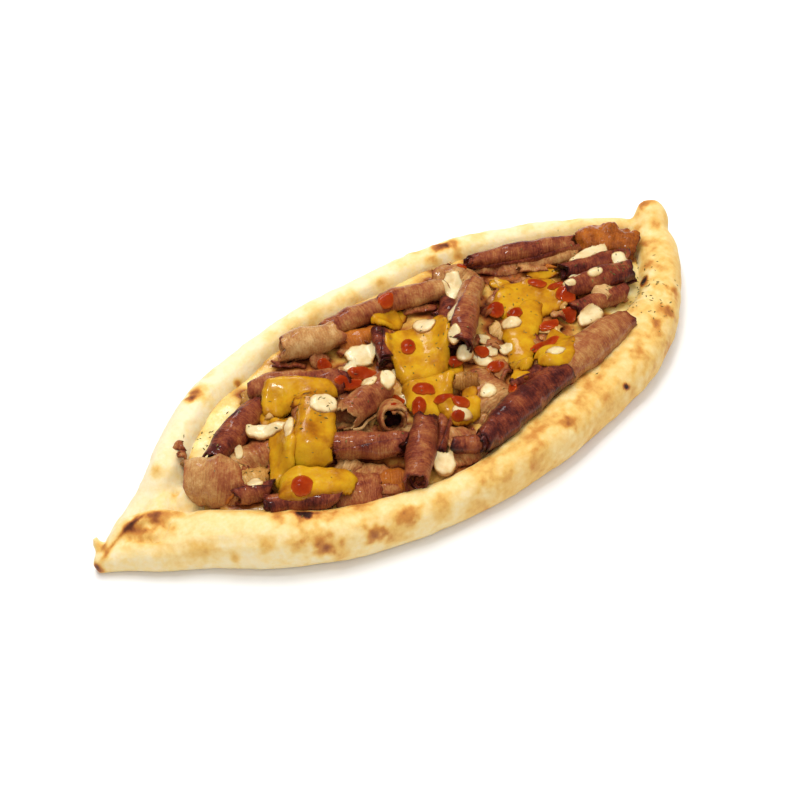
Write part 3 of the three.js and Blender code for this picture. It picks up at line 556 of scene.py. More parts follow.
# Towards the near rim on the right the cheese has crept up between the meat and the crust.
CREEP_LINE = [(36, -50, 0), (56, -46, 0), (76, -41, 0), (96, -36, 0)]
CREEP_RISE, CREEP_REACH = 3.2, 4.5
co[:, 2] += CREEP_RISE * fading(from_line(co * (1, 1, 0), CREEP_LINE), CREEP_REACH) * upward
# Its side is pushed into the dough, so that no gap is left round it.
SUNK_IN = 1.6
co[:, :2] += normal[:, :2] * SUNK_IN
# In the corner by the fold the cheese dips under the dough.
co[:, 2] -= 5 * between(co[:, 0], -117, -121)
move_points(bed, co)
lay(bed)
bed_tops = pile.copy()
print("bed:", len(bed.data.polygons), "faces")

# %% [markdown]
# Doner meat is pressed, roasted and shaved off in thin sheets that curl up as they cool. The knife
# leaves fine ribs across each shaving. So a shaving is modelled as a flat grid that is wound up
# along its length, thickened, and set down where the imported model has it. Its texture follows the
# sheet's own UV map, in millimetres, so that the ribs run round the roll.

# %% Roast meat


def meat_material(name, gloss, wet, stops):
    made, tree, shader = start_material(name, {
        "Subsurface Weight": 0.06, "Subsurface Radius": (0.002, 0.0008, 0.0004), "Coat Weight": wet,
        "Coat Roughness": 0.1, "Specular IOR Level": 0.3})
    sheet = node(tree, "UVMap", uv_map="sheet")
    place = node(tree, "TexCoord").outputs["Object"]
    # Streaks run round the roll: about 1.1 mm wide along it and 8 mm long round it.
    drawn_out = node(tree, "Mapping", {"Vector": sheet, "Scale": (0.9, 0.125, 1)})
    streaks = node(tree, "TexNoise", {"Vector": drawn_out, "Scale": 1.0, "Detail": 4.0, "Roughness": 0.6})
    # Ribs about 1.2 mm apart; the wave texture's bands repeat every 0.314 of its scaled length.
    ribs = node(tree, "TexWave", {"Vector": sheet, "Scale": 0.314 / 1.2, "Distortion": 7.0, "Detail": 4.0,
                                  "Detail Scale": 0.8}).outputs["Fac"]
    # The pressed mince shows as blotches of 9 mm and grains of about 1 mm.
    blotches = node(tree, "TexNoise", {"Vector": place, "Scale": 1 / 0.009, "Detail": 6.0, "Roughness": 0.7})
    grains = node(tree, "TexNoise", {"Vector": place, "Scale": 1 / 0.0011, "Detail": 4.0, "Roughness": 0.7})
    roasted = node(tree, "Attribute", attribute_name="roast").outputs["Fac"]
    edge = node(tree, "Attribute", attribute_name="edge").outputs["Fac"]
    level = varied(tree, roasted, ((blotches, 1.1), (streaks, 0.36), (grains, 0.34), (ribs, 0.035)))
    # The rim of a shaving is darker than its middle.
    darker = node(tree, "Math", {0: edge, 1: 0.2}, operation="MULTIPLY")
    level = node(tree, "Math", {0: level, 1: darker}, operation="ADD")
    # Where the blotches are pale, fat has come out, and the meat is glossier there.
    shine = node(tree, "Math", {0: blotches, 1: 0.5, 2: gloss - 0.25}, operation="MULTIPLY_ADD")
    relief = node(tree, "Math", {0: ribs, 1: 0.35}, operation="MULTIPLY")
    for pattern, share in ((grains, 1.3), (streaks, 1.5)):
        part = node(tree, "Math", {0: pattern, 1: share}, operation="MULTIPLY")
        relief = node(tree, "Math", {0: relief, 1: part}, operation="ADD")
    plug(shader, {"Base Color": node(tree, "ValToRGB", {0: level}, stops), "Roughness": shine,
                  "Normal": node(tree, "Bump", {"Height": relief, "Strength": 0.6, "Distance": 0.0006})})
    return made


roast = meat_material("roast_doner", 0.42, 0.4, [
    (0.0, "d3a86e"), (0.2, "b8834a"), (0.4, "9c572f"), (0.57, "7c351f"), (0.73, "4d1a15"), (1.0, "1b0808")])
crisp = meat_material("crisp_doner", 0.36, 0.4, [
    (0.0, "d08c3a"), (0.25, "b6661c"), (0.5, "9b5018"), (0.75, "612810"), (1.0, "230c08")])
onion = meat_material("fried_onion", 0.24, 0.35, [
    (0.0, "dfb777"), (0.3, "c38f47"), (0.6, "955d26"), (1.0, "4a2812")])
print("meat materials ready")

# %% [markdown]
# Each shaving starts as a flat grid as long as the sheet. Its points are put on a spiral, the ends
# are cut ragged, and random heights crumple it. Winding it in this way gives true layers at the
# ends of a roll, which no solid cylinder would show.

# %% A shaving of meat


# Sizes in mm: the grid's faces along the shaving and round it, the wall of a shaving, and how far
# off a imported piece's points still pull a shaving towards them.
ALONG, ROUND = 0.6, 0.75
WALL = 1.25
SETTLE_REACH = 3.5


def shaving(name, length, radius, yaw, level, seed, turns, start=0.0, roll=0.0, pitch=0.0, flat=1.0,
            bend=0.0, thick=WALL, gap=0.45, ragged=1.2, crumple=0.6, taper=(0.85, 0.85), twist=0.0,
            slant=0.0, rim=1.0, grit=0.0, left=(0,), right=(0,)):
    """A sheet wound round its own X axis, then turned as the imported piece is.

    Sizes are in mm and angles in degrees. Left and right say how far each end is cut back, from the
    sheet's outer edge to its inner one.
    """
    arc = 2 * math.pi * turns * (radius - (thick + gap) * turns / 2)
    bpy.ops.object.select_all(action="DESELECT")
    bpy.ops.mesh.primitive_grid_add(x_subdivisions=max(round(length / ALONG), 8),
                                    y_subdivisions=max(round(arc / ROUND), 6), size=1)
    made = bpy.context.object
    made.name = name
    # Where each point is on the sheet: t from end to end, -1 to 1, and s from its outer edge, 0, to 1.
    grid = points(made) * MM
    t, s = grid[:, 0] * 2, 0.5 - grid[:, 1]
    across = s * arc
    angle = 2 * math.pi * turns * s + np.radians(start + twist * t)
    sheet = np.stack([t * length / 2, across, np.full(len(t), seed * 31.0)], 1)
    wound = np.stack([t * length / 2, radius * np.cos(angle), radius * np.sin(angle)], 1) + seed * 50
    # The spiral's radius: it narrows towards the ends, swells a little, and is crumpled and grainy.
    narrow = 1 - (1 - np.where(t < 0, taper[0], taper[1])) * np.abs(t) ** 2.2
    out = (radius - (thick + gap) * turns * s) * narrow
    out = out * (1 + 0.05 * np.sin(t * 4 + seed) + 0.03 * np.sin(t * 9 + seed * 2))
    out += crumple * (1.3 * rough(wound, 8, seed) + 0.5 * rough(sheet * (1, 0.6, 1), 3.2, seed))
    out += 0.07 * rough(sheet * (1, 0.15, 1), 1.5, seed + 5) + grit * rough(sheet, 1.9, seed + 6)
    # Each end is cut back along a curve through the given values, slanted, and torn.
    cut = [np.polyval(np.polyfit(np.linspace(0, 1, len(side)), side, min(len(side) - 1, 3)), s)
           for side in (left, right)]
    x = t * (length / 2 - np.where(t < 0, cut[0], cut[1])) + slant * (s - 0.5)
    ends = np.abs(t) ** 4 * np.sign(t)
    torn = sheet * (0.1, 1, 1)
    x += ends * ragged * (1.4 * rough(torn, 5, seed + 1) + 0.8 * rough(torn, 2, seed + 2))
    x += ends * ragged * 1.2 * np.cos(angle + seed)
    co = np.stack([x, out * np.cos(angle) + bend * (1 - t * t), out * np.sin(angle) * flat], 1)
    turn = (Matrix.Rotation(math.radians(yaw), 3, "Z") @ Matrix.Rotation(math.radians(-pitch), 3, "Y")
            @ Matrix.Rotation(math.radians(roll), 3, "X"))
    border = np.minimum(length / 2 * (1 - np.abs(t)), np.minimum(across, arc - across))
    paint(made, "edge", rim * np.exp(-border / 0.8))
    paint(made, "roast", level[0] + (level[1] - level[0]) * (t + 1) / 2 + 0.12 * s * min(turns, 1))
    uv = made.data.uv_layers.active
    uv.name = "sheet"
    corners = np.empty(len(made.data.loops), np.int32)
    made.data.loops.foreach_get("vertex_index", corners)
    shifted = sheet[corners][:, :2] + seed * 37.0
    uv.data.foreach_set("uv", shifted.astype(np.float32).ravel())
    move_points(made, co @ np.array(turn).T)
    return made


def thicken(made, wall):
    modify(made, "SOLIDIFY", thickness=wall * MM, offset=-1.0)


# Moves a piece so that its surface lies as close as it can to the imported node's. Points of the node
# that are further off than the reach hardly count, because they belong to the hidden side.
def settle_on(made, node_name):
    goal, co = points(nodes[node_name]), points(made)
    shift = (goal.min(0) + goal.max(0) - co.min(0) - co.max(0)) / 2
    faces = [tuple(face.vertices) for face in made.data.polygons]
    tree = BVHTree.FromPolygons([Vector(place) for place in co], faces)
    for _ in range(14):
        nearest = [tree.find_nearest(Vector(place))[0] for place in goal - shift]
        apart = goal - shift - np.array(nearest)
        weight = fading(np.linalg.norm(apart, axis=1), SETTLE_REACH) + 0.02
        shift = shift + (apart * weight[:, None]).sum(0) / weight.sum()
    move_points(made, co + shift)


print("shavings can be wound")

# %% [markdown]
# Each shaving has its own size and its own roast: the outside of the block is dark and crisp, and
# what lay deeper stays tan. Thin ones have rolled up tightly, and thick ones lie open.

# %% The shavings
# A tight roll goes round twice and has sagged a little.
TIGHT = dict(turns=2.1, flat=0.93, thick=1.15, gap=0.5)
# Length and radius, the turn of its axis, the roast at its two ends, and what else is its own.
MEATS = [
    ("slab_near_left", 25, 13, -27, (0.4, 0.5), dict(turns=0.3, roll=36, right=(0, 2, 5))),
    ("slab_middle", 20, 15, -18, (0.25, 0.3), dict(turns=0.3, roll=36, left=(2, 0, 3))),
    ("slab_right", 27, 14, 86, (0.26, 0.34), dict(turns=0.32, roll=36, right=(4, 0, 2))),
    ("caramel_near", 17, 8, -35, (0.36, 0.42), dict(turns=0.4, roll=22, crumple=1.0, grit=0.35)),
    ("roll_near_left", 29, 5.8, -31, (0.58, 0.5), dict(TIGHT, start=250, twist=25, slant=-3)),
    ("roll_small_left", 16, 5.3, -20, (0.4, 0.6), dict(TIGHT, start=100, twist=20)),
    ("amber_left", 14, 9, -17, (0.2, 0.3), dict(turns=0.32, roll=33)),
    ("roll_far_left", 38, 6.9, 23, (0.6, 0.48), dict(TIGHT, start=50, taper=(0.62, 0.9), twist=45,
        slant=6)),
    ("onion_left", 11, 6, -32, (0.3, 0.4), dict(turns=0.5)),
    ("roll_under_slice", 40, 8.3, -34, (0.38, 0.5), dict(TIGHT, start=265, slant=6, taper=(0.6, 0.85))),
    ("roll_under_melt", 28, 8.6, 52, (0.35, 0.35), dict(TIGHT, start=150)),
    ("flap_left", 16, 9, -11, (0.25, 0.35), dict(turns=0.36, roll=27, crumple=0.9, ragged=1.6, rim=-1.0,
        left=(0, 0, 3))),
    ("slab_left", 29, 12.9, -45, (0.1, 0.36), dict(turns=0.52, taper=(0.8, 0.85), ragged=0.35,
        left=(-4, 1, 1, 2, 6), right=(14, 7, 2, 0.5, 3))),
    ("roll_far_middle", 35, 6.9, -8, (0.42, 0.3), dict(TIGHT, start=240, twist=-30, taper=(0.7, 0.9))),
    ("roll_far_tan", 28, 8.3, -19, (0.12, 0.26), dict(TIGHT, start=260, crumple=0.8, twist=20)),
    ("roll_far_right", 33, 6.8, -20, (0.4, 0.24), dict(TIGHT, start=245)),
    ("crisp_middle", 22, 8, -20, (0.3, 0.35), dict(turns=0.42, roll=16, crumple=1.1, grit=0.35,
        ragged=1.6)),
    ("stub_purple", 20, 5.3, 58, (0.6, 0.55), dict(TIGHT, start=90, twist=30)),
    ("roll_under_middle", 34, 6.3, 48, (0.6, 0.55), dict(TIGHT, start=260, twist=25, crumple=0.8)),
    ("roll_rim_right", 55, 6.8, -25, (0.52, 0.4), dict(TIGHT, start=170, taper=(0.6, 0.85), twist=-25,
        slant=-5)),
    ("curl_far_right", 27, 9, -68, (0.2, 0.26), dict(turns=0.5, crumple=0.8, left=(4, 0, 2), ragged=1.6)),
    ("roll_long_middle", 43, 7.2, 41, (0.55, 0.22), dict(TIGHT, start=60, bend=1, crumple=0.55, twist=30,
        taper=(0.9, 0.8))),
    ("lump_right", 28, 12.5, -53, (0.42, 0.5), dict(turns=0.48, roll=8, crumple=1.6, grit=0.6, ragged=0.9,
        left=(2, 0, 0, 3), right=(3, 0, 0, 2))),
    ("roll_right_low", 28, 5.5, -13, (0.5, 0.42), dict(TIGHT, start=250, twist=20)),
    ("roll_right_far", 34, 6.3, -24, (0.62, 0.48), dict(TIGHT, start=250, twist=20, taper=(0.75, 0.9))),
    ("roll_right_near", 38, 6.9, -17, (0.5, 0.62), dict(TIGHT, start=250, twist=-25, taper=(0.65, 0.92))),
    ("roll_tan_right", 50, 9.2, 6, (0.26, 0.34), dict(TIGHT, start=268, twist=15, taper=(0.95, 0.75),
        slant=4)),
    ("roll_dark_right", 58, 8.4, 8, (0.64, 0.6), dict(TIGHT, start=268, crumple=0.75, bend=1, twist=-35,
        taper=(0.7, 0.9), slant=-5)),
    ("roll_dark_upper", 27, 4.5, -5, (0.55, 0.6), dict(TIGHT, start=120, turns=1.6, twist=20)),
    ("stub_near", 11, 4.6, -35, (0.55, 0.5), dict(turns=0.8, roll=50)),
    ("roll_dark_left", 34, 7.4, -41, (0.4, 0.5), dict(TIGHT, start=130, crumple=0.8, twist=-30,
        ragged=1.7)),
    ("roll_thin_middle", 26, 4, 42, (0.5, 0.4), dict(TIGHT, start=120, turns=1.4, twist=30)),
    ("roll_ribbed", 36, 7.4, 41, (0.42, 0.56), dict(TIGHT, pitch=5, start=245, ragged=1.8, twist=-20,
        taper=(0.8, 0.9), slant=4)),
    ("onion_middle", 11, 5, -41, (0.4, 0.6), dict(turns=0.55)),
    ("curl_centre", 33, 8.4, 9, (0.3, 0.38), dict(turns=1.15, roll=200, crumple=0.8, ragged=1.9, rim=-1.1,
        gap=0.9, left=(0, 3, 0), right=(3, 0, 3))),
    ("curl_round", 12, 7.7, -115, (0.3, 0.4), dict(turns=1.2, pitch=28, roll=30, rim=-0.9, gap=0.9,
        crumple=0.5)),
]
CRISP = {"caramel_near", "crisp_middle", "lump_right"}
FRIED = {"amber_left", "onion_left", "onion_middle"}

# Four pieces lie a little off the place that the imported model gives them, in mm.
LEANING = {"lump_right": (1, 1.5, 2.6), "roll_near_left": (-0.6, -0.7, -1.4),
           "roll_under_slice": (0, 0, -1.2), "roll_dark_upper": (1.2, -1.6, -3)}

shavings = []
for seed, (name, length, radius, yaw, level, how) in enumerate(MEATS, 1):
    made = shaving("doner_" + name, length, radius, yaw, level, seed, **how)
    settle_on(made, name)
    move_points(made, points(made) + LEANING.get(name, (0, 0, 0)))
    thicken(made, how.get("thick", WALL))
    material = crisp if name in CRISP else onion if name in FRIED else roast
    finish_piece(made, material, [name])
    lay(made)
    shavings.append(made)
print(len(shavings), "shavings,", sum(len(m.data.polygons) for m in shavings), "faces")

# %% [markdown]
# Between the big shavings lie torn scraps of meat and onion. They are the same sheets, only smaller
# and hardly curled, and they lean against what is round them.

# %% Scraps
# Kind, place in the plan, length, width, turn, radius of its curl and roast. The last number, where
# there is one, is the height of its middle; the others lie just above the cheese.
SCRAPS = [
    ("crisp", -110, -1, 14, 12, 60, 7, 0.35, 19), ("roast", -102, -15, 8, 9, 26, 5, 0.6, 19),
    ("roast", -67, 37, 6, 12, 46, 6, 0.3, 23), ("onion", -71, 22, 8, 8, -27, 6, 0.2, 21),
    ("roast", -53, -2, 11, 9, -21, 7, 0.12, 20), ("roast", -73, -36, 14, 9, -27, 9, 0.3),
    ("crisp", -8, 37, 17, 11, -54, 8, 0.3), ("crisp", -15, 47, 11, 10, -15, 8, 0.35),
    ("roast", -19, 34, 11, 8, -79, 8, 0.3), ("roast", 26, 36, 17, 11, -34, 9, 0.3),
    ("roast", 35, 24, 9, 13, -79, 8, 0.55), ("onion", 30, 17, 7, 8, 72, 6, 0.2, 20),
    ("roast", 50, 11, 11, 13, 72, 7, 0.5), ("roast", 36, -10, 11, 11, 26, 7, 0.28),
    ("roast", 8, -34, 11, 11, 34, 8, 0.3), ("roast", -16, -42, 18, 18, -15, 14, 0.04),
    ("roast", -16, -49, 11, 9, -27, 5, 0.6, 19), ("roast", -30, -24, 8, 15, 26, 9, 0.1, 18),
    ("onion", -36, -9, 9, 13, 38, 6, 0.1), ("onion", 54, 49, 8, 9, -27, 6, 0.15),
    ("roast", 53, 33, 20, 16, -67, 10, 0.18, 24), ("roast", 75, 36, 16, 12, -41, 9, 0.22),
    ("roast", 82, 27, 18, 12, -27, 9, 0.3), ("roast", 99, 20, 32, 11, -25, 7, 0.2, 20),
    ("roast", 90, 20, 17, 10, -27, 8, 0.2), ("roast", 97, 7, 8, 11, -41, 6, 0.7, 20),
    ("crisp", 95, -12, 13, 11, -15, 7, 0.3), ("roast", 99, -18, 17, 12, 3, 12, 0.02, 23),
    ("onion", 79, -1, 20, 17, -67, 10, 0.12), ("roast", 87, -13, 22, 13, -21, 8, 0.28),
    ("roast", 102, -21, 12, 12, 8, 6, 0.35), ("roast", 75, -13, 14, 12, -54, 8, 0.3),
    ("onion", 45, -6, 8, 9, 72, 6, 0.15), ("roast", 5, 31, 13, 10, -27, 8, 0.3),
    ("roast", -25, -51, 14, 6, -9, 8, 0.2), ("roast", -57, -30, 17, 14, -48, 9, 0.25),
    ("roast", -65, -23, 12, 11, -54, 9, 0.2), ("roast", -60, -43, 15, 5, -30, 8, 0.3),
    ("roast", -31, -43, 13, 8, 26, 8, 0.3), ("roast", -16, -21, 13, 8, 8, 8, 0.25),
    ("roast", -65, -12, 11, 10, -41, 8, 0.4), ("roast", -27, 24, 13, 11, -27, 8, 0.3),
    ("roast", -26, 6, 12, 13, -54, 8, 0.35), ("roast", -45, -10, 11, 6, -41, 8, 0.15),
    ("onion", -25, -12, 9, 10, -15, 7, 0.05), ("roast", 24, -7, 12, 11, -79, 9, 0.3),
    ("roast", 26, -23, 13, 12, -79, 8, 0.25), ("crisp", 10, -26, 10, 9, -67, 8, 0.3),
    ("roast", 56, -6, 13, 17, 26, 9, 0.3), ("roast", 49, -22, 12, 10, 8, 9, 0.35),
    ("onion", 64, -20, 13, 12, -27, 8, 0.1), ("roast", 60, 14, 14, 13, -89, 7, 0.35),
    ("roast", -100, 7, 10, 11, -3, 8, 0.3), ("roast", -88, -3, 11, 10, 26, 8, 0.35),
    ("roast", 40, 39, 16, 9, -15, 9, 0.35), ("roast", 22, 46, 17, 8, -9, 9, 0.3),
    ("onion", 70, 16, 13, 11, 81, 8, 0.15), ("roast", 57, -31, 11, 8, 8, 7, 0.3),
    ("roast", 74, 42, 13, 10, -41, 8, 0.3), ("roast", 79, 12, 13, 11, -27, 8, 0.3),
    ("roast", -41, 7, 13, 11, -67, 8, 0.4), ("roast", -7, 15, 11, 13, 34, 8, 0.4),
    ("roast", -43, 45, 14, 8, -41, 8, 0.4), ("roast", -32, 36, 12, 9, -41, 8, 0.3),
    ("roast", -92, -25, 14, 6, -34, 8, 0.45), ("roast", 86, -25, 14, 10, -3, 8, 0.35),
    ("roast", -31, -12, 10, 9, 60, 6, 0.95, 18.8), ("roast", 61, 11, 13, 14, -15, 9, 0.25),
    ("crisp", 75, 7, 9, 9, -54, 6, 0.2), ("onion", 78, -1, 11, 11, -3, 7, 0.1),
    ("roast", 67, -33, 13, 11, -15, 8, 0.3), ("roast", 51, -38, 13, 8, -9, 6, 0.35),
    ("crisp", 46, -16, 12, 8, 26, 6, 0.25), ("onion", 45, -3, 12, 10, -89, 7, 0.1),
    ("roast", 103, -21, 12, 10, -15, 7, 0.12), ("onion", 79, -37, 10, 9, -15, 6, 0.1),
    ("roast", 63, -43, 13, 7, -3, 5, 0.4), ("roast", 28, -1, 13, 9, 26, 6, 0.3),
    ("crisp", 18, -20, 10, 9, -27, 6, 0.3), ("roast", 19, -38, 12, 9, -41, 6, 0.25),
    ("roast", 45, 19, 14, 8, 34, 5, 0.15), ("onion", 4, 15, 9, 7, -15, 5, 0.1),
    ("roast", -34, -3, 11, 9, -67, 6, 0.2), ("crisp", -49, -5, 11, 9, -41, 6, 0.25),
    ("roast", -92, 12, 11, 10, -3, 7, 0.25), ("onion", -100, 7, 10, 9, -67, 6, 0.1),
    ("roast", 0, -38, 11, 9, -67, 6, 0.15), ("crisp", 95, 18, 12, 6, -30, 5, 0.15),
    ("onion", 84, 34, 11, 8, -41, 5, 0.08), ("roast", 113, 3, 16, 9, -20, 7, 0.35, 19),
    ("roast", -113, 33, 9, 5, -41, 2.8, 0.28, 20.2), ("roast", -115, 28.5, 7, 4.5, 62, 2.6, 0.22, 19.4),
    ("roast", 104, 3, 14, 8, -20, 6, 0.2, 18),
]


# Makes one piece out of many.
def joined(pieces, name):
    pick(pieces[0])
    for piece in pieces:
        piece.select_set(True)
    bpy.ops.object.join()
    pieces[0].name = name
    return pieces[0]


SCRAP_WALL, SCRAP_LIFT = 1.0, 1.5
random = np.random.default_rng(11)
groups = {"roast": [], "crisp": [], "onion": []}
for seed, (kind, x, y, length, width, yaw, radius, level, *height) in enumerate(SCRAPS, 101):
    turns = width / (2 * math.pi * radius)
    made = shaving(
        f"scrap_{seed}", length, radius, yaw, (level - 0.05, level + 0.08), seed, turns,
        start=90 - 180 * turns, roll=random.uniform(-30, 30), pitch=random.uniform(-15, 15), crumple=1.25,
        grit=0.3, ragged=1.9, thick=SCRAP_WALL, left=random.uniform(0, 3, 4), right=random.uniform(0, 3, 4))
    z = height[0] if height else bed_tops[cell_of((x, y))] + SCRAP_LIFT
    co = points(made)
    move_points(made, co + (x, y, z) - co.mean(0))
    thicken(made, SCRAP_WALL)
    lay(made)
    groups[kind].append(made)
scraps = []
for kind, name, material, slot in (("roast", "meat_scraps", roast, "tan_meat"),
                                   ("crisp", "crisp_scraps", crisp, "crisp_meat"),
                                   ("onion", "onion_scraps", onion, "onion")):
    scraps.append(joined(groups[kind], name))
    finish_piece(scraps[-1], material)
print(len(SCRAPS), "scraps,", sum(len(m.data.polygons) for m in scraps), "faces")

# %% [markdown]
# Where the meat lies close, its juice has run into the cheese, and the gaps beside it are darkened as
# painted shade. The distance from each point of the cheese to the nearest shaving says how deep the
# stain and the painted shade are.

# %% Juice and painted shade in the cheese
# Where the cheese stayed pale: place in the plan and reach in mm.
PALE = [
    (-108, 22, 9), (-104, 30, 9), (-93, 36, 9), (-80, 40, 7), (-33, -10, 7), (2, -40, 8), (20, -60, 8),
    (45, -60, 9), (68, -56, 8), (128, 8, 12), (121, -8, 12), (112, -20, 11), (102, -31, 9), (90, -42, 8),
    (-79, -42, 8),
]
# Meat is looked for up to this far from a point of the cheese, for the stain and painted shade, in mm.
JUICE_AND_SHADE_REACH = 6
co = points(bed)
nearest = np.full(len(co), 99.0)
for made in shavings + scraps:
    tree = BVHTree.FromObject(made, bpy.context.evaluated_depsgraph_get())
    low, high = points(made).min(0) - JUICE_AND_SHADE_REACH, points(made).max(0) + JUICE_AND_SHADE_REACH
    for k in np.nonzero(((low < co) & (co < high))[:, :2].all(1))[0]:
        hit = tree.find_nearest(bed.data.vertices[k].co, JUICE_AND_SHADE_REACH * MM)
        if hit[0] is not None:
            nearest[k] = min(nearest[k], hit[3] / MM)
pale = np.zeros(len(co))
for x, y, reach in PALE:
    pale = np.maximum(pale, fading((co[:, 0] - x) ** 2 + (co[:, 1] - y) ** 2, reach**2))
# The stain and painted shade are deepest beside the meat and thin out within a few millimetres.
juice_stain_and_shade_level = 0.62 * np.exp(-nearest / 2.2) * (1 - 0.6 * pale) + 0.38 * (1 - pale) + 0.22 * rough(co, 6, 31)
paint(bed, "juice_stain_and_shade", np.clip(juice_stain_and_shade_level, 0, 1))
finish_piece(bed, melt, ["cheese_bed"])
print("stained points:", int((nearest < 3).sum()))

# %% [markdown]
# Slices of yellow cheese sag over the meat and their edges round off. Blobs of white cheese and
# drops of sauce are the same shape at a smaller size: a soft sheet, thick in the middle and round
# at its edge. All of them are made by one function from a field that is above 0 inside the sheet.

# %% Soft sheets over the pile


def soft_sheet(name, area, field, thick, top):
    """A closed sheet where the field is above 0, with its top at top and its underside thick mm lower."""
    inside = field > 0
    used = inside.copy()
    for dx, dy in product((-1, 0, 1), repeat=2):
        used |= np.roll(np.roll(inside, dx, 0), dy, 1)
    # The points just outside are pulled to where the field is 0, so that the outline runs smoothly.
    slope = np.stack(np.gradient(field, STEP), -1)
    pull = -field[..., None] * slope / np.maximum((slope**2).sum(-1, keepdims=True), 1e-4)
    length = np.maximum(np.linalg.norm(pull, axis=-1, keepdims=True), 1e-6)
    pull *= np.minimum(length, 1.2 * STEP) / length
    plan = GRID[area] + np.where(inside[..., None], 0, pull)
    upper, lower = -np.ones(field.shape, int), -np.ones(field.shape, int)
    upper[used] = np.arange(used.sum())
    lower[inside] = used.sum() + np.arange(inside.sum())
    lower[used & ~inside] = upper[used & ~inside]
    rim_top = np.where(inside, top, top - thick * 0.8)
    co = [(*plan[cell], rim_top[cell]) for cell in zip(*np.nonzero(used))]
    co += [(*plan[cell], top[cell] - thick[cell]) for cell in zip(*np.nonzero(inside))]
    faces = []
    for i, j in np.ndindex(field.shape[0] - 1, field.shape[1] - 1):
        ring = [(i, j), (i + 1, j), (i + 1, j + 1), (i, j + 1)]
        if all(used[cell] for cell in ring) and any(inside[cell] for cell in ring):
            faces.append([upper[cell] for cell in ring])
            faces.append([lower[cell] for cell in reversed(ring)])
    mesh = bpy.data.meshes.new(name)
    mesh.from_pydata([Vector(place) * MM for place in co], [], faces)
    made = new_object(name, mesh)
    # How near the edge each point is, from 1 at the edge to 0 well inside.
    depth = np.concatenate([np.clip(field[used], 0, None), field[inside]])
    paint(made, "thin", np.exp(-depth / 0.16))
    edit_all(made, bpy.ops.mesh.delete_loose)
    modify(made, "SMOOTH", factor=0.5, iterations=3)
    return made


# Half a round edge: steep at 0 and level at 1.
def rounded(share):
    return np.sqrt(1 - (1 - np.clip(share, 0, 1)) ** 2)


# The random heights of one piece over a part of the plan. More gives the same piece other heights.
def rough_over(area, size, piece, more=0):
    spots = GRID[area].reshape(-1, 2)
    layer = np.full((len(spots), 1), piece * 9.0)
    return rough(np.concatenate([spots, layer], 1), size, piece + more).reshape(GRID[area].shape[:2])


# The top of something soft: its own thickness on a base, or a skin over what sticks up through it.
def draped(below, base, thick, highest, skin):
    return blurred(np.maximum(base + thick, np.minimum(blurred(below, 0.7), highest) + skin), 0.7)


# Most long things in the photograph lie across the line of sight. A row without a turn does so too.
ACROSS = -41
# What sticks up through a drop keeps a skin over it, and the drop's underside goes deeper than its own
# height, so that no gap shows round it. Both are in mm.
DROP_SKIN, DROP_SUNK = 0.45, 0.7


# A drop is a dome with an uneven outline. It follows what it lies on, but never by more than the sag.
def drop(name, seed, height, uneven, sag, x, y, length, width, yaw=ACROSS):
    reach = max(length, width) / 2 + 4
    area = window((x - reach, y - reach), (x + reach, y + reach))
    below = pile[area]
    c, s = math.cos(math.radians(yaw)), math.sin(math.radians(yaw))
    dx, dy = GRID[area][..., 0] - x, GRID[area][..., 1] - y
    out = np.hypot((dx * c + dy * s) / (length / 2), (-dx * s + dy * c) / (width / 2))
    field = 1.05 - out + uneven * (rough_over(area, 4.5, seed) + 0.35 * rough_over(area, 1.8, seed))
    core = below[field > 0.5]
    level = np.median(core) if core.size else below.mean()
    base = np.clip(blurred(below, 1.0), level - sag, level + sag)
    thick = height * rounded(field / 0.8)
    top = draped(below, base, thick, level + sag, DROP_SKIN)
    return soft_sheet(name, area, field, thick + DROP_SUNK, top)


print("soft sheets can be made")

# %% [markdown]
# Cheddar, mozzarella and tomato sauce are all wet, smooth and slightly see-through, and thinner and
# darker at their edges. So they share one way of being made, and differ in colour, in how far light
# goes under the skin, and in gloss. The pores are about 3 mm apart and shallow.

# %% Cheese and sauce


def soft_material(name, patch, inputs, stops):
    made, tree, shader = start_material(name, inputs)
    place = node(tree, "TexCoord").outputs["Object"]
    cloud = node(tree, "TexNoise", {"Vector": place, "Scale": 1 / patch, "Detail": 4.0, "Roughness": 0.55})
    thin = node(tree, "Attribute", attribute_name="thin").outputs["Fac"]
    cloudy = node(tree, "Math", {0: cloud, 1: 1.5, 2: -0.43}, operation="MULTIPLY_ADD")
    level = node(tree, "Math", {0: cloudy, 1: thin}, operation="ADD")
    pores = node(tree, "TexNoise", {"Vector": place, "Scale": 1 / 0.0028, "Detail": 5.0})
    plug(shader, {"Base Color": node(tree, "ValToRGB", {0: level}, stops),
                  "Normal": node(tree, "Bump", {"Height": pores, "Strength": 0.4, "Distance": 0.001})})
    return made


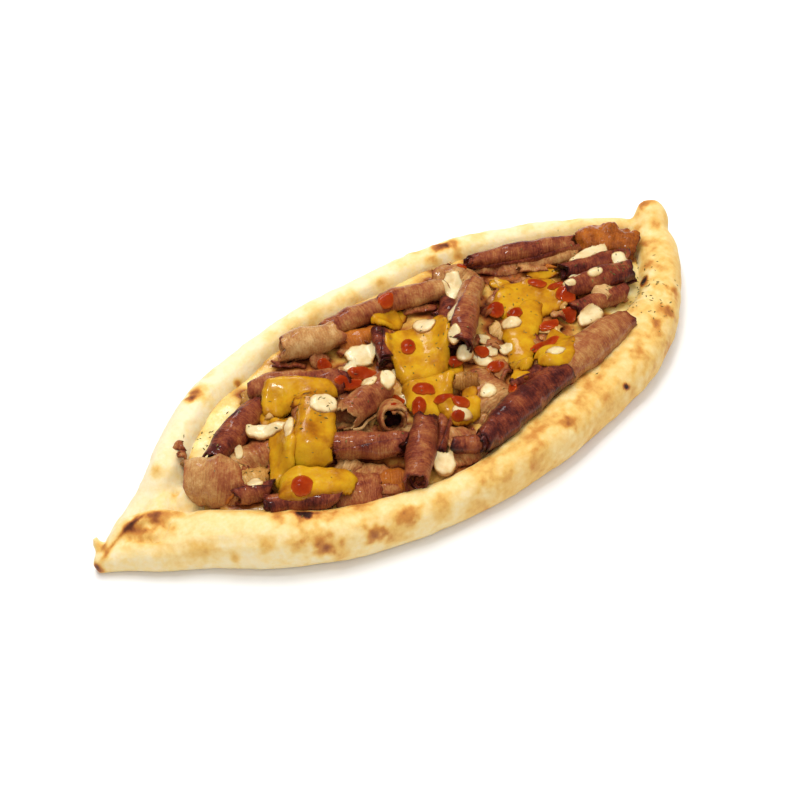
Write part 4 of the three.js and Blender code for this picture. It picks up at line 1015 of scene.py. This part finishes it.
yellow = soft_material("melted_cheddar", 0.008, {
    "Roughness": 0.26, "Specular IOR Level": 0.25, "Subsurface Weight": 0.12,
    "Subsurface Radius": (0.003, 0.0016, 0.0004), "Coat Weight": 0.35, "Coat Roughness": 0.07,
}, [(0.0, "cd9e1a"), (0.35, "be8512"), (0.7, "9d5d0c"), (1.0, "642f08")])
white = soft_material("melted_mozzarella", 0.006, {
    "Roughness": 0.25, "Subsurface Weight": 0.4, "Subsurface Radius": (0.003, 0.0022, 0.0014),
    "Coat Weight": 0.4, "Coat Roughness": 0.08,
}, [(0.0, "ebdab0"), (0.35, "e2ca98"), (0.7, "d2ae74"), (1.0, "b27c46")])
sauce = soft_material("tomato_sauce", 0.005, {
    "Roughness": 0.2, "Specular IOR Level": 0.12, "Subsurface Weight": 0.12,
    "Subsurface Radius": (0.002, 0.0005, 0.0003), "Coat Weight": 0.35, "Coat Roughness": 0.05,
}, [(0.0, "7c1d07"), (0.4, "952e0b"), (0.8, "a63e10"), (1.0, "ae4b16")])
print("soft materials:", yellow.name, white.name, sauce.name)

# %% [markdown]
# The slices were laid on before baking, so they follow the meat below them, hang down at their edges
# and leave the crest of a roll showing as a ridge. A little oily cheese has run out between them.

# %% Yellow cheese
# The pools of oily cheese: place in the plan, length, width and turn.
POOLS = [
    (-72, 20, 11, 14), (-60, 10, 12, 9), (-73, 8, 11, 19, 42), (-71, -12, 11, 8), (-79, -9, 14, 9),
    (1, -3, 17, 10, -15), (11, -9, 9, 11), (-7, -18, 11, 11), (-15, -11, 7, 9), (72, 1, 15, 20, -79),
    (57, -28, 12, 16), (25, -37, 10, 9, -27), (14, 37, 12, 9, -27), (19, 12, 10, 15, 64),
    (91, 14, 19, 8, -30), (68, 21, 8, 10, 26), (5, -26, 9, 9),
]
# Its height in mm, how uneven its outline is, and its sag in mm.
POOL = (0.9, 0.4, 1.4)
pools = joined([drop(f"pool_{i}", i + 160, *POOL, *row) for i, row in enumerate(POOLS)], "cheddar_pools")
finish_piece(pools, yellow)
lay(pools)


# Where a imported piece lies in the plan, as 1 on the grid, and how high its top is there. The piece can
# be slid by some mm along X and Y.
def footprint(name, slid):
    own, found = tops(nodes[name])
    mask, heights = np.zeros(COUNT), np.zeros(COUNT)
    mask[own] = ~np.isnan(found)
    heights[own] = np.nan_to_num(found)
    for axis, mm in enumerate(slid):
        mask, heights = [np.roll(values, round(mm / STEP), axis) for values in (mask, heights)]
    low, high = [np.array(corner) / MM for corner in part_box(name)]
    area = window(low, high, 6)
    return area, mask[area], heights[area]


SLICE_THICK = 1.5
# The small tab has slid up on to the far roll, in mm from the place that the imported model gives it.
TAB_SLID = (3.6, 4.6)
slices = [name for name in nodes if name.startswith("slice_")]
for seed, name in enumerate(slices, 1):
    area, mask, heights = footprint(name, TAB_SLID if name == "slice_tab" else (0, 0))
    below = pile[area]
    field = blurred(mask, 1.8) - 0.36
    field += 0.18 * rough_over(area, 6, seed) + 0.13 * rough_over(area, 2.6, seed)
    top = blurred(heights * mask, 1.3) / np.maximum(blurred(mask, 1.3), 1e-3) - 0.4
    top += 0.8 * rough_over(area, 8, seed, 3) + 0.35 * rough_over(area, 3, seed, 4)
    # The slice has sunk on to what is below, its edge the most, but a roll still pushes it up.
    edge = (1 - between(field, 0, 0.6)) ** 1.5
    top += (0.15 + 0.7 * edge) * np.clip(blurred(below, 1.4) + 0.7 - top, -4.0, 0)
    top = draped(below, top, 0, np.inf, 0.8)
    # It hides the crest of a roll that it lies over, down to the slice's own edge.
    top = np.maximum(top, blurred(below, 0.7) + 0.9 - 1.2 * (1 - between(field, 0, 0.3)))
    thick = SLICE_THICK * rounded(field / 0.4)
    made = soft_sheet("melted_" + name, area, field, thick, top - SLICE_THICK + thick)
    # Where a slice lies close on the meat, it is thin and darker.
    co = points(made)
    depth = co[:, 2] - pile[cell_of(co)]
    paint(made, "thin", 0.36 * np.exp(-np.clip(depth, 0, 9) / 1.2) + 0.2 * rough(co, 9, seed + 7))
    finish_piece(made, yellow, [name])
    lay(made)
print(len(slices), "slices")

# %% [markdown]
# White cheese was dropped on in lumps, and it melts less than the yellow. Some lumps have kept a
# round outline and others have run out wildly, so each has its own share of random outline.

# %% White cheese
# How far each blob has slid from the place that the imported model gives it, in mm.
SLID = {"2": (-2.8, -4.5), "3": (-2.4, -2.7), "6": (-3.5, -3.8), "7": (-1.6, -1.7), "8": (-2.4, -2.9),
        "9": (-3, -3.1)}
# The blobs that have kept a round outline, and those that lie on top of a roll and not beside it.
STILL_ROUND = ("1", "4", "5", "7")
ON_TOP = ("4", "6")
# The skin over what sticks up through a blob, and how much deeper its underside goes, in mm.
BLOB_SKIN, BLOB_SUNK = 0.5, 0.9
blobs = [name for name in nodes if name.startswith("white_cheese_")]
for seed, name in enumerate(blobs, 41):
    number = name[-1]
    area, mask, heights = footprint(name, SLID.get(number, (0, 0)))
    below = pile[area]
    wild = 0.4 if number in STILL_ROUND else 1
    inside = blurred(mask, 1.2)
    field = inside - 0.46 + wild * (0.42 * rough_over(area, 4.5, seed) + 0.24 * rough_over(area, 2, seed))
    # No hole is left in the middle.
    field = np.maximum(field, 2 * (inside - 0.75))
    sunk, highest = (0.2, 7.3) if number in ON_TOP else (2.2, -0.4)
    level = np.median(heights[mask > 0])
    base = np.clip(blurred(below, 1.3), level - sunk - 2.2, level - sunk + 1.6)
    thick = (1.9 - 0.8 * wild) * rounded(field / 0.5) * (1 + 0.45 * wild * rough_over(area, 3, seed, 2))
    top = draped(below, base, thick, level + highest, BLOB_SKIN)
    top = np.maximum(top, np.minimum(below, level + highest) + 0.4)
    made = soft_sheet("melted_" + name, area, field, thick + BLOB_SUNK, top)
    finish_piece(made, white, [name])
    lay(made)
print(len(blobs), "blobs")

# %% [markdown]
# The small drops of white cheese and tomato sauce are all made alike, so each is one row: its place in
# the plan, its length, its width and its turn. They lie on everything else, so they come after it.

# %% Drops of white cheese and red sauce
WHITE_DROPS = [
    (18, -8, 8, 7), (-74, 5, 5, 15), (-102, -7, 7, 9), (-31, 2, 7, 8), (18, 0, 6, 11), (10, -32, 8, 9),
    (50, -5, 10, 8), (120, -9, 9, 9), (101, -10, 8, 7, -27), (87, -6, 7, 5), (31, -10, 8, 7, -79),
    (-97, 12, 4, 9), (29, 12, 6, 11, -67), (25, -11, 12, 7, -73), (35, -3, 7, 7, -67),
    (-21, -8, 9, 6, -15), (-7, -34, 9, 6, -54), (39, -14, 6, 8, 8), (-24, 24, 6, 8), (-30, 22, 6, 6),
    (94, -4, 7, 5), (46, -38, 8, 6, -27), (-12, 7, 4, 5),
]
RED_DROPS = [
    (-90, -24, 9, 11), (-32, 34, 7, 6, -21), (-23, 18, 13, 6), (-35, 12, 13, 7, -34), (1, 12, 7, 10),
    (-12, -13, 10, 8), (-20, -19, 7, 11), (-8, -23, 10, 6, -15), (-4, -29, 9, 7, -67), (-10, -34, 6, 5),
    (-23, -8, 7, 5), (14, -6, 8, 5), (13, 42, 8, 7, -15), (60, 40, 5, 6), (53, 8, 8, 9),
    (56, -1, 8, 7, -15), (80, 8, 10, 7, -61), (84, -1, 8, 5), (83, -8, 9, 9, -79), (65, -16, 11, 7, -9),
    (77, -16, 8, 7), (52, -26, 14, 7, -9), (28, -9, 7, 6, -15), (27, -20, 9, 8, -3), (18, -39, 4, 9),
    (-33, -17, 5, 3, 20),
]
# Height of a drop in mm and how uneven its outline is. The first ten white drops stand up round; the
# others have melted flat.
STANDING = 10
ROUND_DROP, FLAT_DROP, SAUCE_DROP = (1.1, 0.18), (0.6, 0.42), (1.4, 0.22)
DROP_SAG = 2.0
white_forms = [ROUND_DROP] * STANDING + [FLAT_DROP] * (len(WHITE_DROPS) - STANDING)
for kind, rows, forms, material, slot in (
        ("white_drops", WHITE_DROPS, white_forms, white, "white_cheese"),
        ("sauce_drops", RED_DROPS, [SAUCE_DROP] * len(RED_DROPS), sauce, "red_sauce")):
    made = []
    for i, (row, form) in enumerate(zip(rows, forms)):
        made.append(drop(f"{kind}_{i}", i + 60, *form, DROP_SAG, *row))
    whole = joined(made, kind)
    finish_piece(whole, material)
    lay(whole)
    print(kind, len(rows))

# %% [markdown]
# Dried herbs are sprinkled last. Each flake is a small bent diamond with a few faces, set on the
# surface below it and turned at random.

# %% Herb flakes
herb, tree, shader = start_material("dried_herb", {"Roughness": 0.7})
# The flakes differ from place to place, over 4 mm, from nearly black to grey-green.
tint = node(tree, "TexNoise", {"Vector": node(tree, "TexCoord").outputs["Object"], "Scale": 1 / 0.004})
greens = [(0.3, "45431f"), (0.5, "69652f"), (0.7, "8d8447")]
plug(shader, {"Base Color": node(tree, "ValToRGB", {0: tint}, greens)})

# Middle of each sprinkling in mm, its half sizes and how many flakes are thrown there.
SPRINKLES = [
    ((0, 0), (110, 30), 150), ((112, -22), (26, 26), 150), ((-98, 30), (12, 12), 30),
    ((60, 0), (50, 45), 60), ((-60, 0), (45, 30), 45), ((-62, 12), (9, 5), 9), ((-57, -2), (5, 7), 8),
    ((34, 3), (9, 12), 12),
]
# A flake that falls lower than this, or on a steeper slope, isn't seen and is left out.
LOWEST, STEEPEST = 9, 1.1
random = np.random.default_rng(5)
verts, faces = [], []
slope = np.stack(np.gradient(blurred(pile, 0.7), STEP), -1)
for middle, half, count in SPRINKLES:
    for _ in range(count):
        x, y = np.array(middle) + np.array(half) * np.clip(random.normal(0, 0.5, 2), -1.2, 1.2)
        # Half the length and half the width of the flake, in mm.
        size, width = random.uniform(0.4, 1.15), random.uniform(0.14, 0.34)
        turn = random.uniform(0, math.pi)
        i, j = cell_of((x, y))
        if not (0 <= i < COUNT[0] and 0 <= j < COUNT[1]):
            continue
        if pile[i, j] < LOWEST or np.abs(slope[i, j]).max() > STEEPEST:
            continue
        c, s = math.cos(turn), math.sin(turn)
        ring = []
        for a, b, lift in ((-size, 0, 0.1), (0, width, 0.22), (size, 0, 0.12), (0, -width, 0.2)):
            step = np.array([a * c - b * s, a * s + b * c])
            ring.append((x + step[0], y + step[1], pile[i, j] + lift + slope[i, j] @ step))
        centre = np.mean(ring, axis=0)
        first = len(verts)
        verts += ring + [centre + (0, 0, 0.16), centre - (0, 0, 0.2)]
        for k in range(4):
            here, after = first + k, first + (k + 1) % 4
            faces += [(here, after, first + 4), (after, here, first + 5)]
mesh = bpy.data.meshes.new("herb_flakes")
mesh.from_pydata([Vector(place) * MM for place in verts], [], faces)
finish_piece(new_object("herb_flakes", mesh), herb)
print("flakes:", len(verts) // 6)
